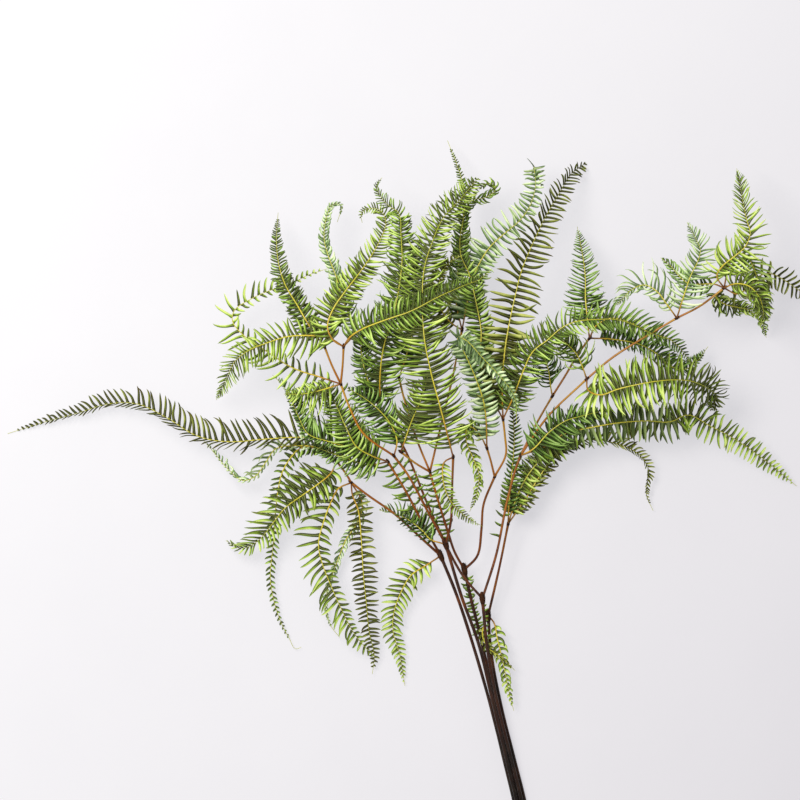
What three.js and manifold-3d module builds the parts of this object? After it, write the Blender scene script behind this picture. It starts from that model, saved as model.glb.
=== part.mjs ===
// A dried spray of forked fern, laid down: five woody fronds and the leafy pinnae they carry.
// Millimetres, +X along the widest spread, +Y from the cut ends to the spray's top, +Z up from the table.
import * as THREE from 'three';
import { mergeVertices } from 'three/addons/utils/BufferGeometryUtils.js';
import Module from 'manifold-3d';

const wasm = await Module();
wasm.setup();

// Plan positions were read off the photo in its steps: millimetres for each, and the spray's middle in them.
const STEP = 0.7;
const MIDDLE_X = 417.64;
const MIDDLE_Y = 503.04;

// Sizes of the woody stalks, in millimetres.
const FOOT_RADIUS = 1.2;
const FOOT_THINNING = 0.95;
const BRANCH_SHARE = 0.78;
const TWIG_RADIUS = 0.7;
const TWIG_START_SHARE = 1.1;
const STALK_SIDES = 6;
const RING_SPACING = 14;
const BUD_RADIUS = 2.9;
const KNOT_RADIUS = 1.7;
const GROUND_RUN = 22;
const STACK_RISE = 2.0;

// Sizes of the pinnae, in millimetres unless said.
const LEAFLET_PITCH = 7.3;
const RIB_HALF_WIDTH = 0.7;
const TIP_HALF_WIDTH = 0.25;
const BLADE_THICKNESS = 0.8;
const LEAFLET_TIP_THICKNESS = 0.6;
const SHORTEST_LEAFLET = 1.6;
const BARE_STATIONS = 2;
const GROWTH_START = -6;
const GROWN_BY = 16;
const FADE = 2.4;
const BLUNT_FADE = 16;
const RIB_POINT_SPACING = 3;
const ROOT_GAP = 0.3;
const ROOT_FAN = 40;
const WIDEST_FAN = 110;
const FAN_FADE = 12;
const LEAN_AT_ROOT = 80;
const LEAN_AT_TIP = 52;

// How leaflets are bent clear of their neighbours: sampling and gaps in millimetres, bends in degrees.
const SAMPLE_SPACING = 1.2;
const CLEARANCE = 1.8;
const TABLE_CLEARANCE = 1.0;
const KIN_STATIONS = 3.5;
const CELL_SIZE = 4;
const INSIDE_SHARE = 0.8;
const STRAIGHT_ENOUGH = 0.05;
const BENDS = [0, 8, -8, 16, -16, 25, -25, 35, -35, 47, -47, 60, -60];
const SHORTENINGS = [1, 0.85, 0.7, 0.55, 0.4, 0.28];

const COLOURS = {
  stalk: '#3b2419',
  fresh: '#93a04c',
  leaf: '#7a8a42',
  deep: '#5d6c36',
  olive: '#6c6a38',
  pale: '#a3ab80',
};

// Where the stalks fork: plan position in steps, height in millimetres.
const FORKS = {
  a_bud: [441, 557, 20], a_low: [351, 483, 34], a_side: [336, 461, 40], a_high: [388, 462, 44],
  b_bud: [446, 545, 34], b_cross: [394, 456, 66], b_left: [341, 384, 82], b_tip: [325, 347, 92],
  b_top: [344, 347, 98], b_mid: [453, 457, 78],
  c_bud: [465, 571, 16], c_split: [430, 472, 46], c_back: [399, 378, 52], c_front: [401, 452, 60],
  c_hidden: [462, 330, 60], c_right: [495, 477, 40], c_crown: [503, 419, 62], c_grey: [487, 448, 52],
  d_bud: [483, 600, 24], d_split: [521, 456, 36], d_tuft: [553, 396, 40], d_fan: [587, 379, 52],
  d_point: [590, 338, 46], d_pale: [677, 318, 58], d_far: [724, 288, 62], d_back: [381, 411, 56],
  e_bud: [489, 618, 10], e_low: [509, 525, 20],
};

// Each frond's stalk: its foot and height rank in the bundle, then every branch with the points it passes.
// A third number in a point is its height in millimetres; otherwise the height runs evenly between the forks.
const STALKS = {
  stalk_a: { foot: [530.5, 868], stacked: false, branches: [
    ['foot', 'a_bud', [[511.5, 790], [490.5, 705], [471.5, 640], [456.5, 595]]],
    ['a_bud', 'a_low', [[418, 536], [395, 515], [368, 496]]],
    ['a_low', 'a_side', [[345, 473]]],
    ['a_bud', 'a_high', [[425, 528], [406, 492]]],
  ] },
  stalk_b: { foot: [533.2, 868], stacked: true, branches: [
    ['foot', 'b_bud', [[514, 790], [493.5, 704], [479, 645], [462, 598]]],
    ['b_bud', 'b_cross', [[428, 512], [408, 475]]],
    ['b_cross', 'b_left', [[364, 434], [350, 408]]],
    ['b_left', 'b_tip', [[332, 365]]],
    ['b_left', 'b_top', [[343, 365]]],
    ['b_bud', 'b_mid', [[451, 522], [452, 490]]],
  ] },
  stalk_c: { foot: [536, 868], stacked: false, branches: [
    ['foot', 'c_bud', [[517, 790], [496, 704], [482, 642], [471.5, 600]]],
    ['c_bud', 'c_split', [[455, 553], [448, 532], [438, 500]]],
    ['c_split', 'c_back', [[417, 440], [405, 402]]],
    ['c_split', 'c_front', [[415, 463]]],
    ['c_split', 'c_hidden', [[440, 430], [452, 380]]],
    ['c_bud', 'c_right', [[478, 557], [482, 530], [484, 505]]],
    ['c_right', 'c_crown', [[506, 455], [505, 436]]],
    ['c_right', 'c_grey', [[491, 461]]],
  ] },
  stalk_d: { foot: [538.7, 868], stacked: true, branches: [
    ['foot', 'd_bud', [[519.5, 790], [498, 704], [488, 650]]],
    ['d_bud', 'd_split', [[497, 555], [507, 505], [516, 470]]],
    ['d_split', 'd_tuft', [[538, 422]]],
    ['d_tuft', 'd_point', [[565, 377], [578, 355]]],
    ['d_split', 'd_fan', [[548, 417]]],
    ['d_fan', 'd_pale', [[612, 358], [645, 337]]],
    ['d_pale', 'd_far', [[700, 306]]],
    ['d_bud', 'd_back', [[462, 575, 24], [430, 510, 31], [405, 450, 42]]],
  ] },
  stalk_e: { foot: [541.5, 868], stacked: false, branches: [
    ['foot', 'e_bud', [[522.5, 790], [501, 704], [492, 655]]],
    ['e_bud', 'e_low', [[500, 570]]],
  ] },
};

// Each pinna: the fork it grows from, the points its rib passes in plan, the height half way and at the tip,
// the length of the leaflets to its left and right in steps, how far each row folds up in degrees, its tone.
// A fade above the usual one keeps the leaflets long to the tip, and one below it makes the pinna a spire.
// A blunt pinna's leaflets keep that share of the longest right up to its tip.
const PINNAE = {
  a_bow: { fork: 'a_low', heights: [30, 8], reach: [16, 27], fold: [-30, 5], fade: 4, tone: 'fresh',
    route: [[338, 489], [331, 502], [324, 520], [318, 545], [322, 565], [331, 588], [342, 613], [354, 636],
      [366, 651], [375, 659]] },
  a_plumb: { fork: 'a_low', heights: [18, 4], reach: [15, 13], fold: [20, 20], fade: 5, tone: 'olive',
    route: [[352, 495], [358, 511], [361, 540], [363, 575], [366, 605], [369, 635], [374, 658], [372, 677]] },
  a_crook: { fork: 'a_low', heights: [12, 6], reach: [9, 9], fold: [10, 10], tone: 'pale',
    route: [[362, 504], [357, 524], [346, 540], [340, 554], [334, 570], [327, 590], [325, 610], [330, 628],
      [339, 640]] },
  a_wing: { fork: 'a_side', heights: [34, 6], reach: [22, 30], fold: [5, 15], fade: 3, tone: 'fresh',
    route: [[331, 473], [317, 485], [300, 497], [285, 508], [272, 524], [260, 539], [247, 548], [236, 549],
      [224, 542]] },
  a_thread: { fork: 'a_side', heights: [14, 3], reach: [10, 10], fold: [15, 10], tone: 'leaf',
    route: [[320, 450], [301, 448], [290, 458], [281, 474], [277, 492], [274, 515], [272, 545], [269, 580],
      [273, 605], [281, 628], [288, 641], [294, 652], [300, 650]] },
  a_curl: { fork: 'a_side', heights: [26, 12], reach: [7, 19], fold: [30, 10], tone: 'pale',
    route: [[322, 449], [300, 446], [275, 449], [266, 461], [254, 477], [241, 481], [227, 470], [214, 455],
      [201, 440]] },
  a_sweep: { fork: 'a_high', heights: [22, 0.45], reach: [24, 30], fold: [70, 5], tone: 'olive',
    route: [[350, 448], [310, 438], [270, 439], [225, 442], [195, 436], [165, 418], [135, 404], [105, 404],
      [75, 413], [45, 421], [3, 434]] },
  a_short: { fork: 'a_high', heights: [50, 38], reach: [22, 20], fold: [10, 10], tone: 'deep',
    route: [[368, 465], [348, 459], [328, 452], [312, 446]] },
  a_edge: { fork: 'a_high', heights: [56, 40], reach: [10, 28], fold: [50, 5], tone: 'deep',
    route: [[358, 450], [330, 442], [308, 434], [298, 416], [291, 400], [283, 386], [272, 375]] },
  a_back: { fork: 'a_high', heights: [66, 52], reach: [28, 28], fold: [8, 8], blunt: 0.55, tone: 'leaf',
    route: [[372, 456], [356, 446], [345, 425], [335, 403], [322, 386]] },
  a_spur: { fork: 'a_bud', heights: [10, 3], reach: [16, 18], fold: [10, 10], tone: 'fresh',
    route: [[426, 567], [411, 577], [401, 594], [394, 614], [393, 634], [399, 655], [405, 689]] },
  b_ruff: { fork: 'b_bud', heights: [30, 20], reach: [16, 25], fold: [75, 10], tone: 'deep',
    route: [[430, 540], [424, 533], [409, 521], [394, 514], [379, 511]] },
  b_loop: { fork: 'b_left', heights: [46, 60], reach: [28, 13], fold: [5, 15], tone: 'fresh',
    route: [[320, 377], [293, 368], [266, 351], [243, 335], [232, 321], [234, 310], [250, 299], [270, 290],
      [290, 284], [308, 275], [330, 268]] },
  b_skirt: { fork: 'b_left', heights: [70, 56], reach: [30, 15], fold: [10, 10], tone: 'fresh',
    route: [[322, 390], [303, 394], [284, 394]] },
  b_spike: { fork: 'b_tip', heights: [74, 14], reach: [16, 16], fold: [15, 15], fade: 1.8, tone: 'leaf',
    route: [[311, 328], [298, 306], [286, 286], [279, 265], [276, 240], [277, 211]] },
  b_hook: { fork: 'b_top', heights: [80, 22], reach: [26, 20], fold: [5, 10], fade: 3, tone: 'fresh',
    route: [[329, 338], [310, 336], [288, 337], [268, 343], [250, 350], [235, 361], [226, 378], [215, 400]] },
  b_lean: { fork: 'b_top', heights: [92, 40], reach: [20, 20], fold: [15, 15], tone: 'fresh',
    route: [[334, 341], [328, 328], [333, 311], [345, 293], [358, 276], [370, 259], [380, 241], [386, 224],
      [381, 211], [369, 208], [361, 213], [362, 222]] },
  b_cross: { fork: 'b_top', heights: [118, 96], reach: [22, 22], fold: [10, 10], tone: 'leaf',
    route: [[350, 338], [362, 330], [385, 321], [411, 312], [438, 298], [465, 286], [478, 281], [491, 270]] },
  b_nod: { fork: 'b_top', heights: [62, 30], reach: [14, 15], fold: [10, 20], tone: 'pale',
    route: [[354, 334], [350, 318], [343, 300], [336, 276], [328, 255], [324, 238], [326, 218], [332, 204],
      [341, 204], [337, 221]] },
  b_crest: { fork: 'b_mid', heights: [112, 56], reach: [33, 30], fold: [10, 10], fade: 3.5, blunt: 0.65,
    tone: 'fresh',
    route: [[446, 430], [438, 400], [430, 370], [424, 338], [422, 300], [424, 270], [431, 246], [443, 219],
      [460, 200], [478, 178]] },
  b_drop: { fork: 'b_mid', heights: [62, 34], reach: [12, 15], fold: [10, 10], fade: 1.6, tone: 'fresh',
    route: [[444, 462], [443, 480], [450, 500], [466, 517], [483, 527]] },
  b_under: { fork: 'b_cross', heights: [72, 74], reach: [32, 26], fold: [5, 10], tone: 'deep',
    route: [[397, 441], [390, 423], [378, 409], [363, 397], [347, 388]] },
  c_behind: { fork: 'c_back', heights: [44, 30], reach: [24, 24], fold: [8, 8], tone: 'deep',
    route: [[408, 350], [415, 320], [413, 290], [416, 262], [420, 235]] },
  c_bright: { fork: 'c_front', heights: [84, 86], reach: [26, 34], fold: [8, 8], tone: 'fresh',
    route: [[405, 440], [412, 420], [420, 402], [425, 386], [430, 368]] },
  c_tall: { fork: 'c_crown', heights: [72, 0.45], reach: [28, 29], fold: [32, 10], fade: 2.6, blunt: 0.5,
    tone: 'olive',
    route: [[502, 388], [504, 355], [508, 328], [514, 300], [521, 272], [532, 245], [545, 218], [559, 194],
      [572, 173], [588, 160]] },
  c_arch: { fork: 'c_crown', heights: [92, 66], reach: [24, 22], fold: [10, 10], tone: 'leaf',
    route: [[513, 397], [522, 373], [532, 352], [547, 340], [561, 328], [575, 322], [595, 320], [615, 320],
      [635, 326], [652, 334], [672, 340]] },
  c_needle: { fork: 'c_crown', heights: [65, 10], reach: [20, 18], fold: [10, 10], fade: 1.6, tone: 'leaf',
    route: [[495, 404], [485, 381], [480, 357], [481, 332], [476, 303], [469, 274], [461, 256], [460, 240],
      [464, 215], [465, 192], [459, 168], [448, 138]] },
  c_fold: { fork: 'c_grey', heights: [92, 84], reach: [16, 16], fold: [20, 20], tone: 'pale',
    route: [[486, 420], [483, 400], [474, 375], [465, 355], [457, 337], [466, 341], [482, 358], [498, 375],
      [514, 397], [516, 424]] },
  c_fall: { fork: 'c_grey', heights: [64, 40], reach: [13, 13], fold: [10, 10], tone: 'fresh',
    route: [[478, 432], [468, 426], [466, 440], [473, 458], [479, 475], [476, 497], [470, 512]] },
  c_plume: { fork: 'c_hidden', heights: [50, 30], reach: [26, 18], fold: [10, 10], blunt: 0.5, tone: 'pale',
    route: [[468, 300], [474, 275], [489, 248], [505, 233], [520, 220], [530, 206], [536, 186], [535, 165],
      [543, 187]] },
  c_ring: { fork: 'c_hidden', heights: [42, 50], reach: [16, 16], fold: [10, 10], blunt: 0.6, tone: 'leaf',
    route: [[456, 300], [458, 270], [463, 240], [464, 212], [472, 200], [485, 197], [496, 189], [489, 182],
      [479, 189]] },
  c_shade: { fork: 'c_hidden', heights: [76, 82], reach: [20, 10], fold: [20, 10], tone: 'olive',
    route: [[449, 321], [438, 301], [441, 276], [450, 262], [462, 256]] },
  d_under: { fork: 'd_split', heights: [44, 36], reach: [26, 30], fold: [10, 10], tone: 'deep',
    route: [[534, 449], [550, 432], [566, 421], [583, 416], [607, 410]] },
  d_reach: { fork: 'd_split', heights: [30, 3], reach: [22, 22], fold: [10, 10], fade: 4, tone: 'fresh',
    route: [[545, 447], [565, 434], [590, 428], [620, 423], [648, 421], [672, 422], [690, 415], [712, 426],
      [735, 438], [758, 453], [780, 470], [801, 487]] },
  d_shag: { fork: 'd_tuft', heights: [48, 40], reach: [30, 26], fold: [10, 10], tone: 'deep',
    route: [[551, 386], [549, 371], [545, 356], [544, 343]] },
  d_hand: { fork: 'd_fan', heights: [64, 60], reach: [30, 29], fold: [10, 10], tone: 'leaf',
    route: [[583, 368], [577, 355], [568, 345], [556, 337], [543, 333]] },
  d_bright: { fork: 'd_fan', heights: [74, 34], reach: [30, 28], fold: [10, 10], fade: 5, blunt: 0.5,
    tone: 'fresh',
    route: [[588, 390], [600, 395], [618, 389], [645, 383], [670, 380], [690, 381], [706, 387], [717, 396],
      [713, 410]] },
  d_arrow: { fork: 'd_point', heights: [42, 12], reach: [27, 27], fold: [10, 10], fade: 1.4, tone: 'deep',
    route: [[588, 320], [586, 298], [586, 275], [583, 250], [579, 225]] },
  d_comb: { fork: 'd_point', heights: [36, 14], reach: [24, 12], fold: [10, 50], tone: 'deep',
    route: [[612, 339], [640, 344], [657, 353], [668, 363], [684, 370], [698, 362], [711, 346]] },
  d_roof: { fork: 'd_point', heights: [56, 30], reach: [22, 18], fold: [10, 10], tone: 'deep',
    route: [[597, 325], [612, 318], [632, 323], [650, 333], [668, 338], [681, 348], [692, 362]] },
  d_ghost: { fork: 'd_pale', heights: [66, 40], reach: [15, 32], fold: [10, 10], tone: 'pale',
    route: [[667, 305], [657, 292], [645, 285], [631, 290], [622, 300], [614, 306]] },
  d_mist: { fork: 'd_pale', heights: [72, 44], reach: [20, 24], fold: [10, 10], tone: 'pale',
    route: [[683, 297], [690, 276], [697, 262], [700, 250], [695, 237], [688, 222]] },
  d_dark: { fork: 'd_far', heights: [54, 36], reach: [18, 20], fold: [10, 10], tone: 'deep',
    route: [[714, 284], [702, 284], [690, 284], [680, 276], [672, 266], [662, 257]] },
  d_spire: { fork: 'd_far', heights: [78, 26], reach: [20, 24], fold: [10, 10], tone: 'fresh',
    route: [[716, 276], [722, 266], [733, 257], [744, 247], [749, 234], [746, 221], [743, 203], [741, 185],
      [739, 167]] },
  d_droop: { fork: 'd_far', heights: [57, 8], reach: [26, 22], fold: [10, 10], tone: 'leaf',
    route: [[728, 268], [734, 256], [744, 254], [752, 264], [758, 280], [762, 297], [765, 320], [770, 337]] },
  d_ball: { fork: 'd_far', heights: [86, 64], reach: [24, 22], fold: [10, 10], tone: 'fresh',
    route: [[735, 284], [748, 287], [757, 297], [762, 312], [760, 326]] },
  d_right: { fork: 'd_far', heights: [34, 0.45], reach: [20, 20], fold: [10, 10], tone: 'olive',
    route: [[738, 294], [750, 286], [760, 276], [772, 273], [786, 279], [800, 288], [815, 296], [832, 302]] },
  d_lap: { fork: 'd_far', heights: [40, 26], reach: [18, 18], fold: [10, 10], tone: 'fresh',
    route: [[716, 296], [726, 304], [740, 307], [752, 310], [762, 320]] },
  d_stripe: { fork: 'd_back', heights: [92, 46], reach: [28, 28], fold: [10, 10], blunt: 0.4, tone: 'leaf',
    route: [[380, 378], [384, 346], [393, 318], [399, 288], [402, 262], [401, 236], [399, 214], [389, 206],
      [381, 197], [376, 186], [382, 177]] },
  d_shadow: { fork: 'd_back', heights: [60, 46], reach: [16, 24], fold: [10, 10], tone: 'deep',
    route: [[372, 392], [365, 371], [361, 351], [362, 334], [368, 318]] },
  e_arch: { fork: 'e_low', heights: [18, 3], reach: [19, 14], fold: [5, 70], tone: 'olive',
    route: [[527, 499], [545, 471], [562, 451], [590, 440], [618, 444], [640, 454], [651, 470], [649, 495],
      [656, 512]] },
  e_light: { fork: 'e_low', heights: [22, 16], reach: [19, 19], fold: [10, 10], tone: 'fresh',
    route: [[518, 497], [528, 477], [542, 459], [556, 441], [572, 430]] },
  e_climb: { fork: 'e_low', heights: [26, 30], reach: [10, 14], fold: [10, 10], tone: 'deep',
    route: [[510, 500], [513, 470], [515, 440], [514, 410], [518, 385]] },
  e_spur: { fork: 'e_bud', heights: [14, 9], reach: [12, 12], fold: [10, 10], tone: 'fresh',
    route: [[495, 625], [498, 640], [502, 656], [507, 680], [511, 699], [515, 714]] },
  e_twig: { fork: 'e_bud', heights: [18, 14], reach: [8, 8], fold: [10, 10], tone: 'olive',
    route: [[483, 636], [489, 650], [503, 660], [516, 673]] },
};

const UP = new THREE.Vector3(0, 0, 1);

function radians(degrees) {
  return degrees * Math.PI / 180;
}

function mix(from, to, share) {
  return from + (to - from) * share;
}

// A plan position in steps and a height in millimetres, as a point in the part's frame.
function place(x, y, height) {
  return new THREE.Vector3((x - MIDDLE_X) * STEP, (MIDDLE_Y - y) * STEP, height);
}

function forkRadius(fork) {
  return fork.endsWith('_bud') ? BUD_RADIUS : KNOT_RADIUS;
}

// The lengths along a row of points, from nought at the first to one at the last.
function shares(points) {
  const lengths = [0];
  for (let i = 1; i < points.length; i += 1) {
    lengths.push(lengths[i - 1] + Math.hypot(points[i].x - points[i - 1].x, points[i].y - points[i - 1].y));
  }
  return lengths.map((length) => length / lengths[lengths.length - 1]);
}

// The smooth middle line of one branch; a branch from a foot lies flat on the table first.
function branchLine(stalk, [from, to, passed]) {
  const rise = stalk.stacked ? STACK_RISE : 0;
  const footHeight = FOOT_RADIUS * Math.cos(Math.PI / STALK_SIDES) + rise;
  const start = from === 'foot' ? [...stalk.foot, footHeight] : FORKS[from];
  const end = FORKS[to];
  const points = [start, ...passed, end].map(([x, y, height]) => place(x, y, height ?? NaN));
  const along = shares(points);
  points.forEach((point, i) => {
    if (Number.isNaN(point.z)) point.z = mix(start[2], end[2], along[i]);
  });
  if (from === 'foot') {
    const direction = points[1].clone().sub(points[0]).setZ(0).normalize();
    const lifted = points[0].clone().addScaledVector(direction, GROUND_RUN);
    points.splice(1, 0, lifted);
  }
  return new THREE.CatmullRomCurve3(points, false, 'centripetal');
}

// A closed body from its points and triangles.
function solid(points, triangles) {
  const positions = new Float32Array(points.flatMap((point) => [point.x, point.y, point.z]));
  const mesh = new wasm.Mesh({ numProp: 3, vertProperties: positions, triVerts: new Uint32Array(triangles) });
  return new wasm.Manifold(mesh);
}

// A closed tube through a row of rings.
function tube(rings) {
  const points = [];
  const triangles = [];
  rings.forEach(({ centre, side, up, radius }) => {
    for (let k = 0; k < STALK_SIDES; k += 1) {
      const angle = 2 * Math.PI * k / STALK_SIDES;
      const offset = side.clone().multiplyScalar(Math.cos(angle) * radius);
      points.push(centre.clone().add(offset).addScaledVector(up, Math.sin(angle) * radius));
    }
  });
  for (let ring = 0; ring < rings.length - 1; ring += 1) {
    for (let k = 0; k < STALK_SIDES; k += 1) {
      const next = (k + 1) % STALK_SIDES;
      const near = ring * STALK_SIDES;
      const far = near + STALK_SIDES;
      triangles.push(near + k, far + next, far + k, near + k, near + next, far + next);
    }
  }
  const last = (rings.length - 1) * STALK_SIDES;
  for (let k = 1; k < STALK_SIDES - 1; k += 1) {
    triangles.push(0, k + 1, k);
    triangles.push(last, last + k, last + k + 1);
  }
  return solid(points, triangles);
}

// The rings of a branch: centre, side and up direction, and radius.
function branchRings(line, startRadius, endRadius, flatStart) {
  const length = line.getLength();
  const count = Math.max(2, Math.round(length / RING_SPACING));
  const rings = [];
  for (let k = 0; k <= count; k += 1) {
    const share = k / count;
    const forward = line.getTangentAt(share);
    const centre = line.getPointAt(share);
    const level = flatStart && share * length < GROUND_RUN;
    if (level) {
      forward.setZ(0).normalize();
      centre.z = line.getPointAt(0).z;
    }
    const side = new THREE.Vector3().crossVectors(UP, forward).normalize();
    const up = new THREE.Vector3().crossVectors(forward, side);
    rings.push({ centre, side, up, radius: level ? startRadius : mix(startRadius, endRadius, share) });
  }
  return rings;
}

// A bud or knot at a fork.
function knot(fork) {
  const radius = forkRadius(fork);
  const shape = new THREE.IcosahedronGeometry(radius, radius > KNOT_RADIUS ? 1 : 0);
  shape.deleteAttribute('normal');
  shape.deleteAttribute('uv');
  const merged = mergeVertices(shape);
  const centre = place(...FORKS[fork]);
  const points = [];
  for (let i = 0; i < merged.attributes.position.count; i += 1) {
    points.push(new THREE.Vector3().fromBufferAttribute(merged.attributes.position, i).add(centre));
  }
  return solid(points, Array.from(merged.index.array));
}

// How thick a branch starts and ends: the main stalk runs into its bud, the twigs thin to their knots.
function branchRadii(from) {
  if (from === 'foot') return [FOOT_RADIUS, FOOT_RADIUS * FOOT_THINNING];
  const twigStart = TWIG_RADIUS * TWIG_START_SHARE;
  return from.endsWith('_bud') ? [FOOT_RADIUS * BRANCH_SHARE, twigStart] : [twigStart, TWIG_RADIUS];
}

// One woody frond: all its branches, buds and knots as a single body.
function stalkBody(stalk, space) {
  const pieces = stalk.branches.map((branch) => {
    const [from, to] = branch;
    const line = branchLine(stalk, branch);
    const rings = branchRings(line, ...branchRadii(from), from === 'foot');
    space.addLine(line, rings[0].radius, 'wood');
    const end = place(...FORKS[to]);
    space.add(end, forkRadius(to), 'wood', 0);
    return tube(rings).add(knot(to));
  });
  return pieces.reduce((body, piece) => body.add(piece));
}

// What has been laid so far, as small balls kept in a grid of cells.
class Space {
  constructor() {
    this.cells = new Map();
  }

  // The name of the cell that a point lies in.
  cellOf(x, y, z) {
    return [x, y, z].map((value) => Math.floor(value / CELL_SIZE)).join();
  }

  add(point, radius, owner, order) {
    const key = this.cellOf(point.x, point.y, point.z);
    if (!this.cells.has(key)) this.cells.set(key, []);
    this.cells.get(key).push({ point, radius, owner, order });
  }

  addLine(line, radius, owner) {
    const count = Math.ceil(line.getLength() / SAMPLE_SPACING);
    for (let k = 0; k <= count; k += 1) {
      this.add(line.getPointAt(k / count), radius, owner, k * SAMPLE_SPACING / LEAFLET_PITCH);
    }
  }

  // True where a point of one owner keeps its distance from all the rest and from the table.
  clear(point, owner, order) {
    if (point.z < TABLE_CLEARANCE) return false;
    for (let i = -1; i <= 1; i += 1) {
      for (let j = -1; j <= 1; j += 1) {
        for (let k = -1; k <= 1; k += 1) {
          const key = this.cellOf(point.x + i * CELL_SIZE, point.y + j * CELL_SIZE, point.z + k * CELL_SIZE);
          for (const ball of this.cells.get(key) ?? []) {
            const kin = ball.owner === owner && Math.abs(ball.order - order) < KIN_STATIONS;
            const extra = Math.max(0, ball.radius - BLADE_THICKNESS / 2);
            if (!kin && ball.point.distanceTo(point) < CLEARANCE + extra) return false;
          }
        }
      }
    }
    return true;
  }
}

// How steeply a pinna leaves its fork: the pinnae of one fork are fanned out, the highest on top.
function rootClimb(plan) {
  const kin = Object.values(PINNAE).filter((other) => other.fork === plan.fork);
  const lower = kin.filter((other) => other.heights[0] < plan.heights[0]).length;
  const between = Math.min(ROOT_FAN, WIDEST_FAN / (kin.length - 1));
  return kin.length > 1 ? radians((lower - (kin.length - 1) / 2) * between) : 0;
}

// The smooth rib of a pinna, from just off its fork's bud to its tip.
function ribLine(plan) {
  const [forkX, forkY, forkHeight] = FORKS[plan.fork];
  const points = [[forkX, forkY], ...plan.route].map(([x, y]) => place(x, y, 0));
  const along = shares(points);
  const [middle, tip] = plan.heights;
  points.forEach((point, i) => {
    const t = along[i];
    point.z = forkHeight * (1 - t) * (1 - 2 * t) + 4 * middle * t * (1 - t) + tip * t * (2 * t - 1);
  });
  const whole = new THREE.CatmullRomCurve3(points, false, 'centripetal');
  const climb = rootClimb(plan);
  const off = forkRadius(plan.fork) + ROOT_GAP;
  const skipped = off * Math.cos(climb) / whole.getLength();
  const count = Math.ceil(whole.getLength() / RIB_POINT_SPACING);
  const kept = [];
  for (let k = 0; k <= count; k += 1) {
    const point = whole.getPointAt(mix(skipped, 1, k / count));
    const gone = k / count * whole.getLength();
    point.z += off * Math.sin(climb) * Math.exp(-gone / FAN_FADE) * (1 - k / count);
    kept.push(point);
  }
  return new THREE.CatmullRomCurve3(kept, false, 'centripetal');
}

// The stations along a rib: centre, forward, left and up directions.
function ribStations(line) {
  const count = Math.max(4, Math.round(line.getLength() / LEAFLET_PITCH));
  const stations = [];
  for (let k = 0; k <= count; k += 1) {
    const share = k / count;
    const forward = line.getTangentAt(share);
    const left = new THREE.Vector3().crossVectors(UP, forward).normalize();
    const up = new THREE.Vector3().crossVectors(forward, left);
    stations.push({ centre: line.getPointAt(share), forward, left, up, share });
  }
  return stations;
}

// How long leaflets are along a pinna, as a share of the longest: short at the root, fading to the tip.
function leafletShare(share, plan) {
  const growing = THREE.MathUtils.smoothstep(share * plan.line.getLength(), GROWTH_START, GROWN_BY);
  const fading = 1 - share ** (plan.fade ?? FADE);
  const blunt = (plan.blunt ?? 0) * (1 - share ** BLUNT_FADE);
  return growing * Math.max(fading, blunt);
}

// The tightest bend's limit on leaflets that lie on the inside of a curved rib.
function insideLimit(stations, k, hand) {
  const a = stations[Math.max(0, k - 1)];
  const b = stations[Math.min(stations.length - 1, k + 2)];
  const turn = new THREE.Vector3().crossVectors(a.forward, b.forward).dot(UP) * hand;
  const gone = a.centre.distanceTo(b.centre);
  return turn > STRAIGHT_ENOUGH ? INSIDE_SHARE * gone / turn : Infinity;
}

// One leaflet's middle root, pointing direction, blade normal and length for a given bend.
function leafletPose(stations, k, hand, plan, bend, length) {
  const near = stations[k];
  const far = stations[k + 1];
  const share = mix(near.share, far.share, 0.5);
  const fold = radians(plan.fold[hand > 0 ? 0 : 1] + bend);
  const lean = radians(mix(LEAN_AT_ROOT, LEAN_AT_TIP, share));
  const outward = near.left.clone().add(far.left).normalize().multiplyScalar(hand);
  const up = near.up.clone().add(far.up).normalize();
  const forward = near.forward.clone().add(far.forward).normalize();
  const flat = outward.clone().multiplyScalar(Math.cos(fold)).addScaledVector(up, Math.sin(fold));
  const normal = up.clone().multiplyScalar(Math.cos(fold)).addScaledVector(outward, -Math.sin(fold));
  const direction = flat.multiplyScalar(Math.sin(lean)).addScaledVector(forward, Math.cos(lean));
  const root = near.centre.clone().add(far.centre).multiplyScalar(0.5);
  return { root, direction, normal, forward, length };
}

// Points spread over a leaflet, to test it against what is already there.
function leafletSamples(pose) {
  const samples = [];
  for (let along = RIB_HALF_WIDTH; along < pose.length + SAMPLE_SPACING; along += SAMPLE_SPACING) {
    const reached = Math.min(along, pose.length);
    const halfWidth = LEAFLET_PITCH / 2 * (1 - reached / pose.length);
    const columns = Math.ceil(halfWidth / SAMPLE_SPACING);
    for (let column = -columns; column <= columns; column += 1) {
      const across = columns === 0 ? 0 : halfWidth * column / columns;
      const point = pose.root.clone().addScaledVector(pose.direction, reached);
      samples.push(point.addScaledVector(pose.forward, across));
    }
  }
  return samples;
}

// Lays one leaflet: it is bent, and if need be shortened, until it is clear of all that was laid before.
function layLeaflet(stations, k, hand, plan, name, space) {
  const share = stations[k].share;
  const wanted = plan.reach[hand > 0 ? 0 : 1] * STEP * leafletShare(share, plan);
  const longest = Math.min(wanted, insideLimit(stations, k, hand));
  if (k < BARE_STATIONS || longest < SHORTEST_LEAFLET) return null;
  for (const shortening of SHORTENINGS) {
    for (const bend of BENDS) {
      const pose = leafletPose(stations, k, hand, plan, bend, longest * shortening);
      const samples = leafletSamples(pose);
      if (pose.length >= SHORTEST_LEAFLET && samples.every((point) => space.clear(point, name, k))) {
        samples.forEach((point) => space.add(point, BLADE_THICKNESS / 2, name, k));
        return pose;
      }
    }
  }
  return null;
}

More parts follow.
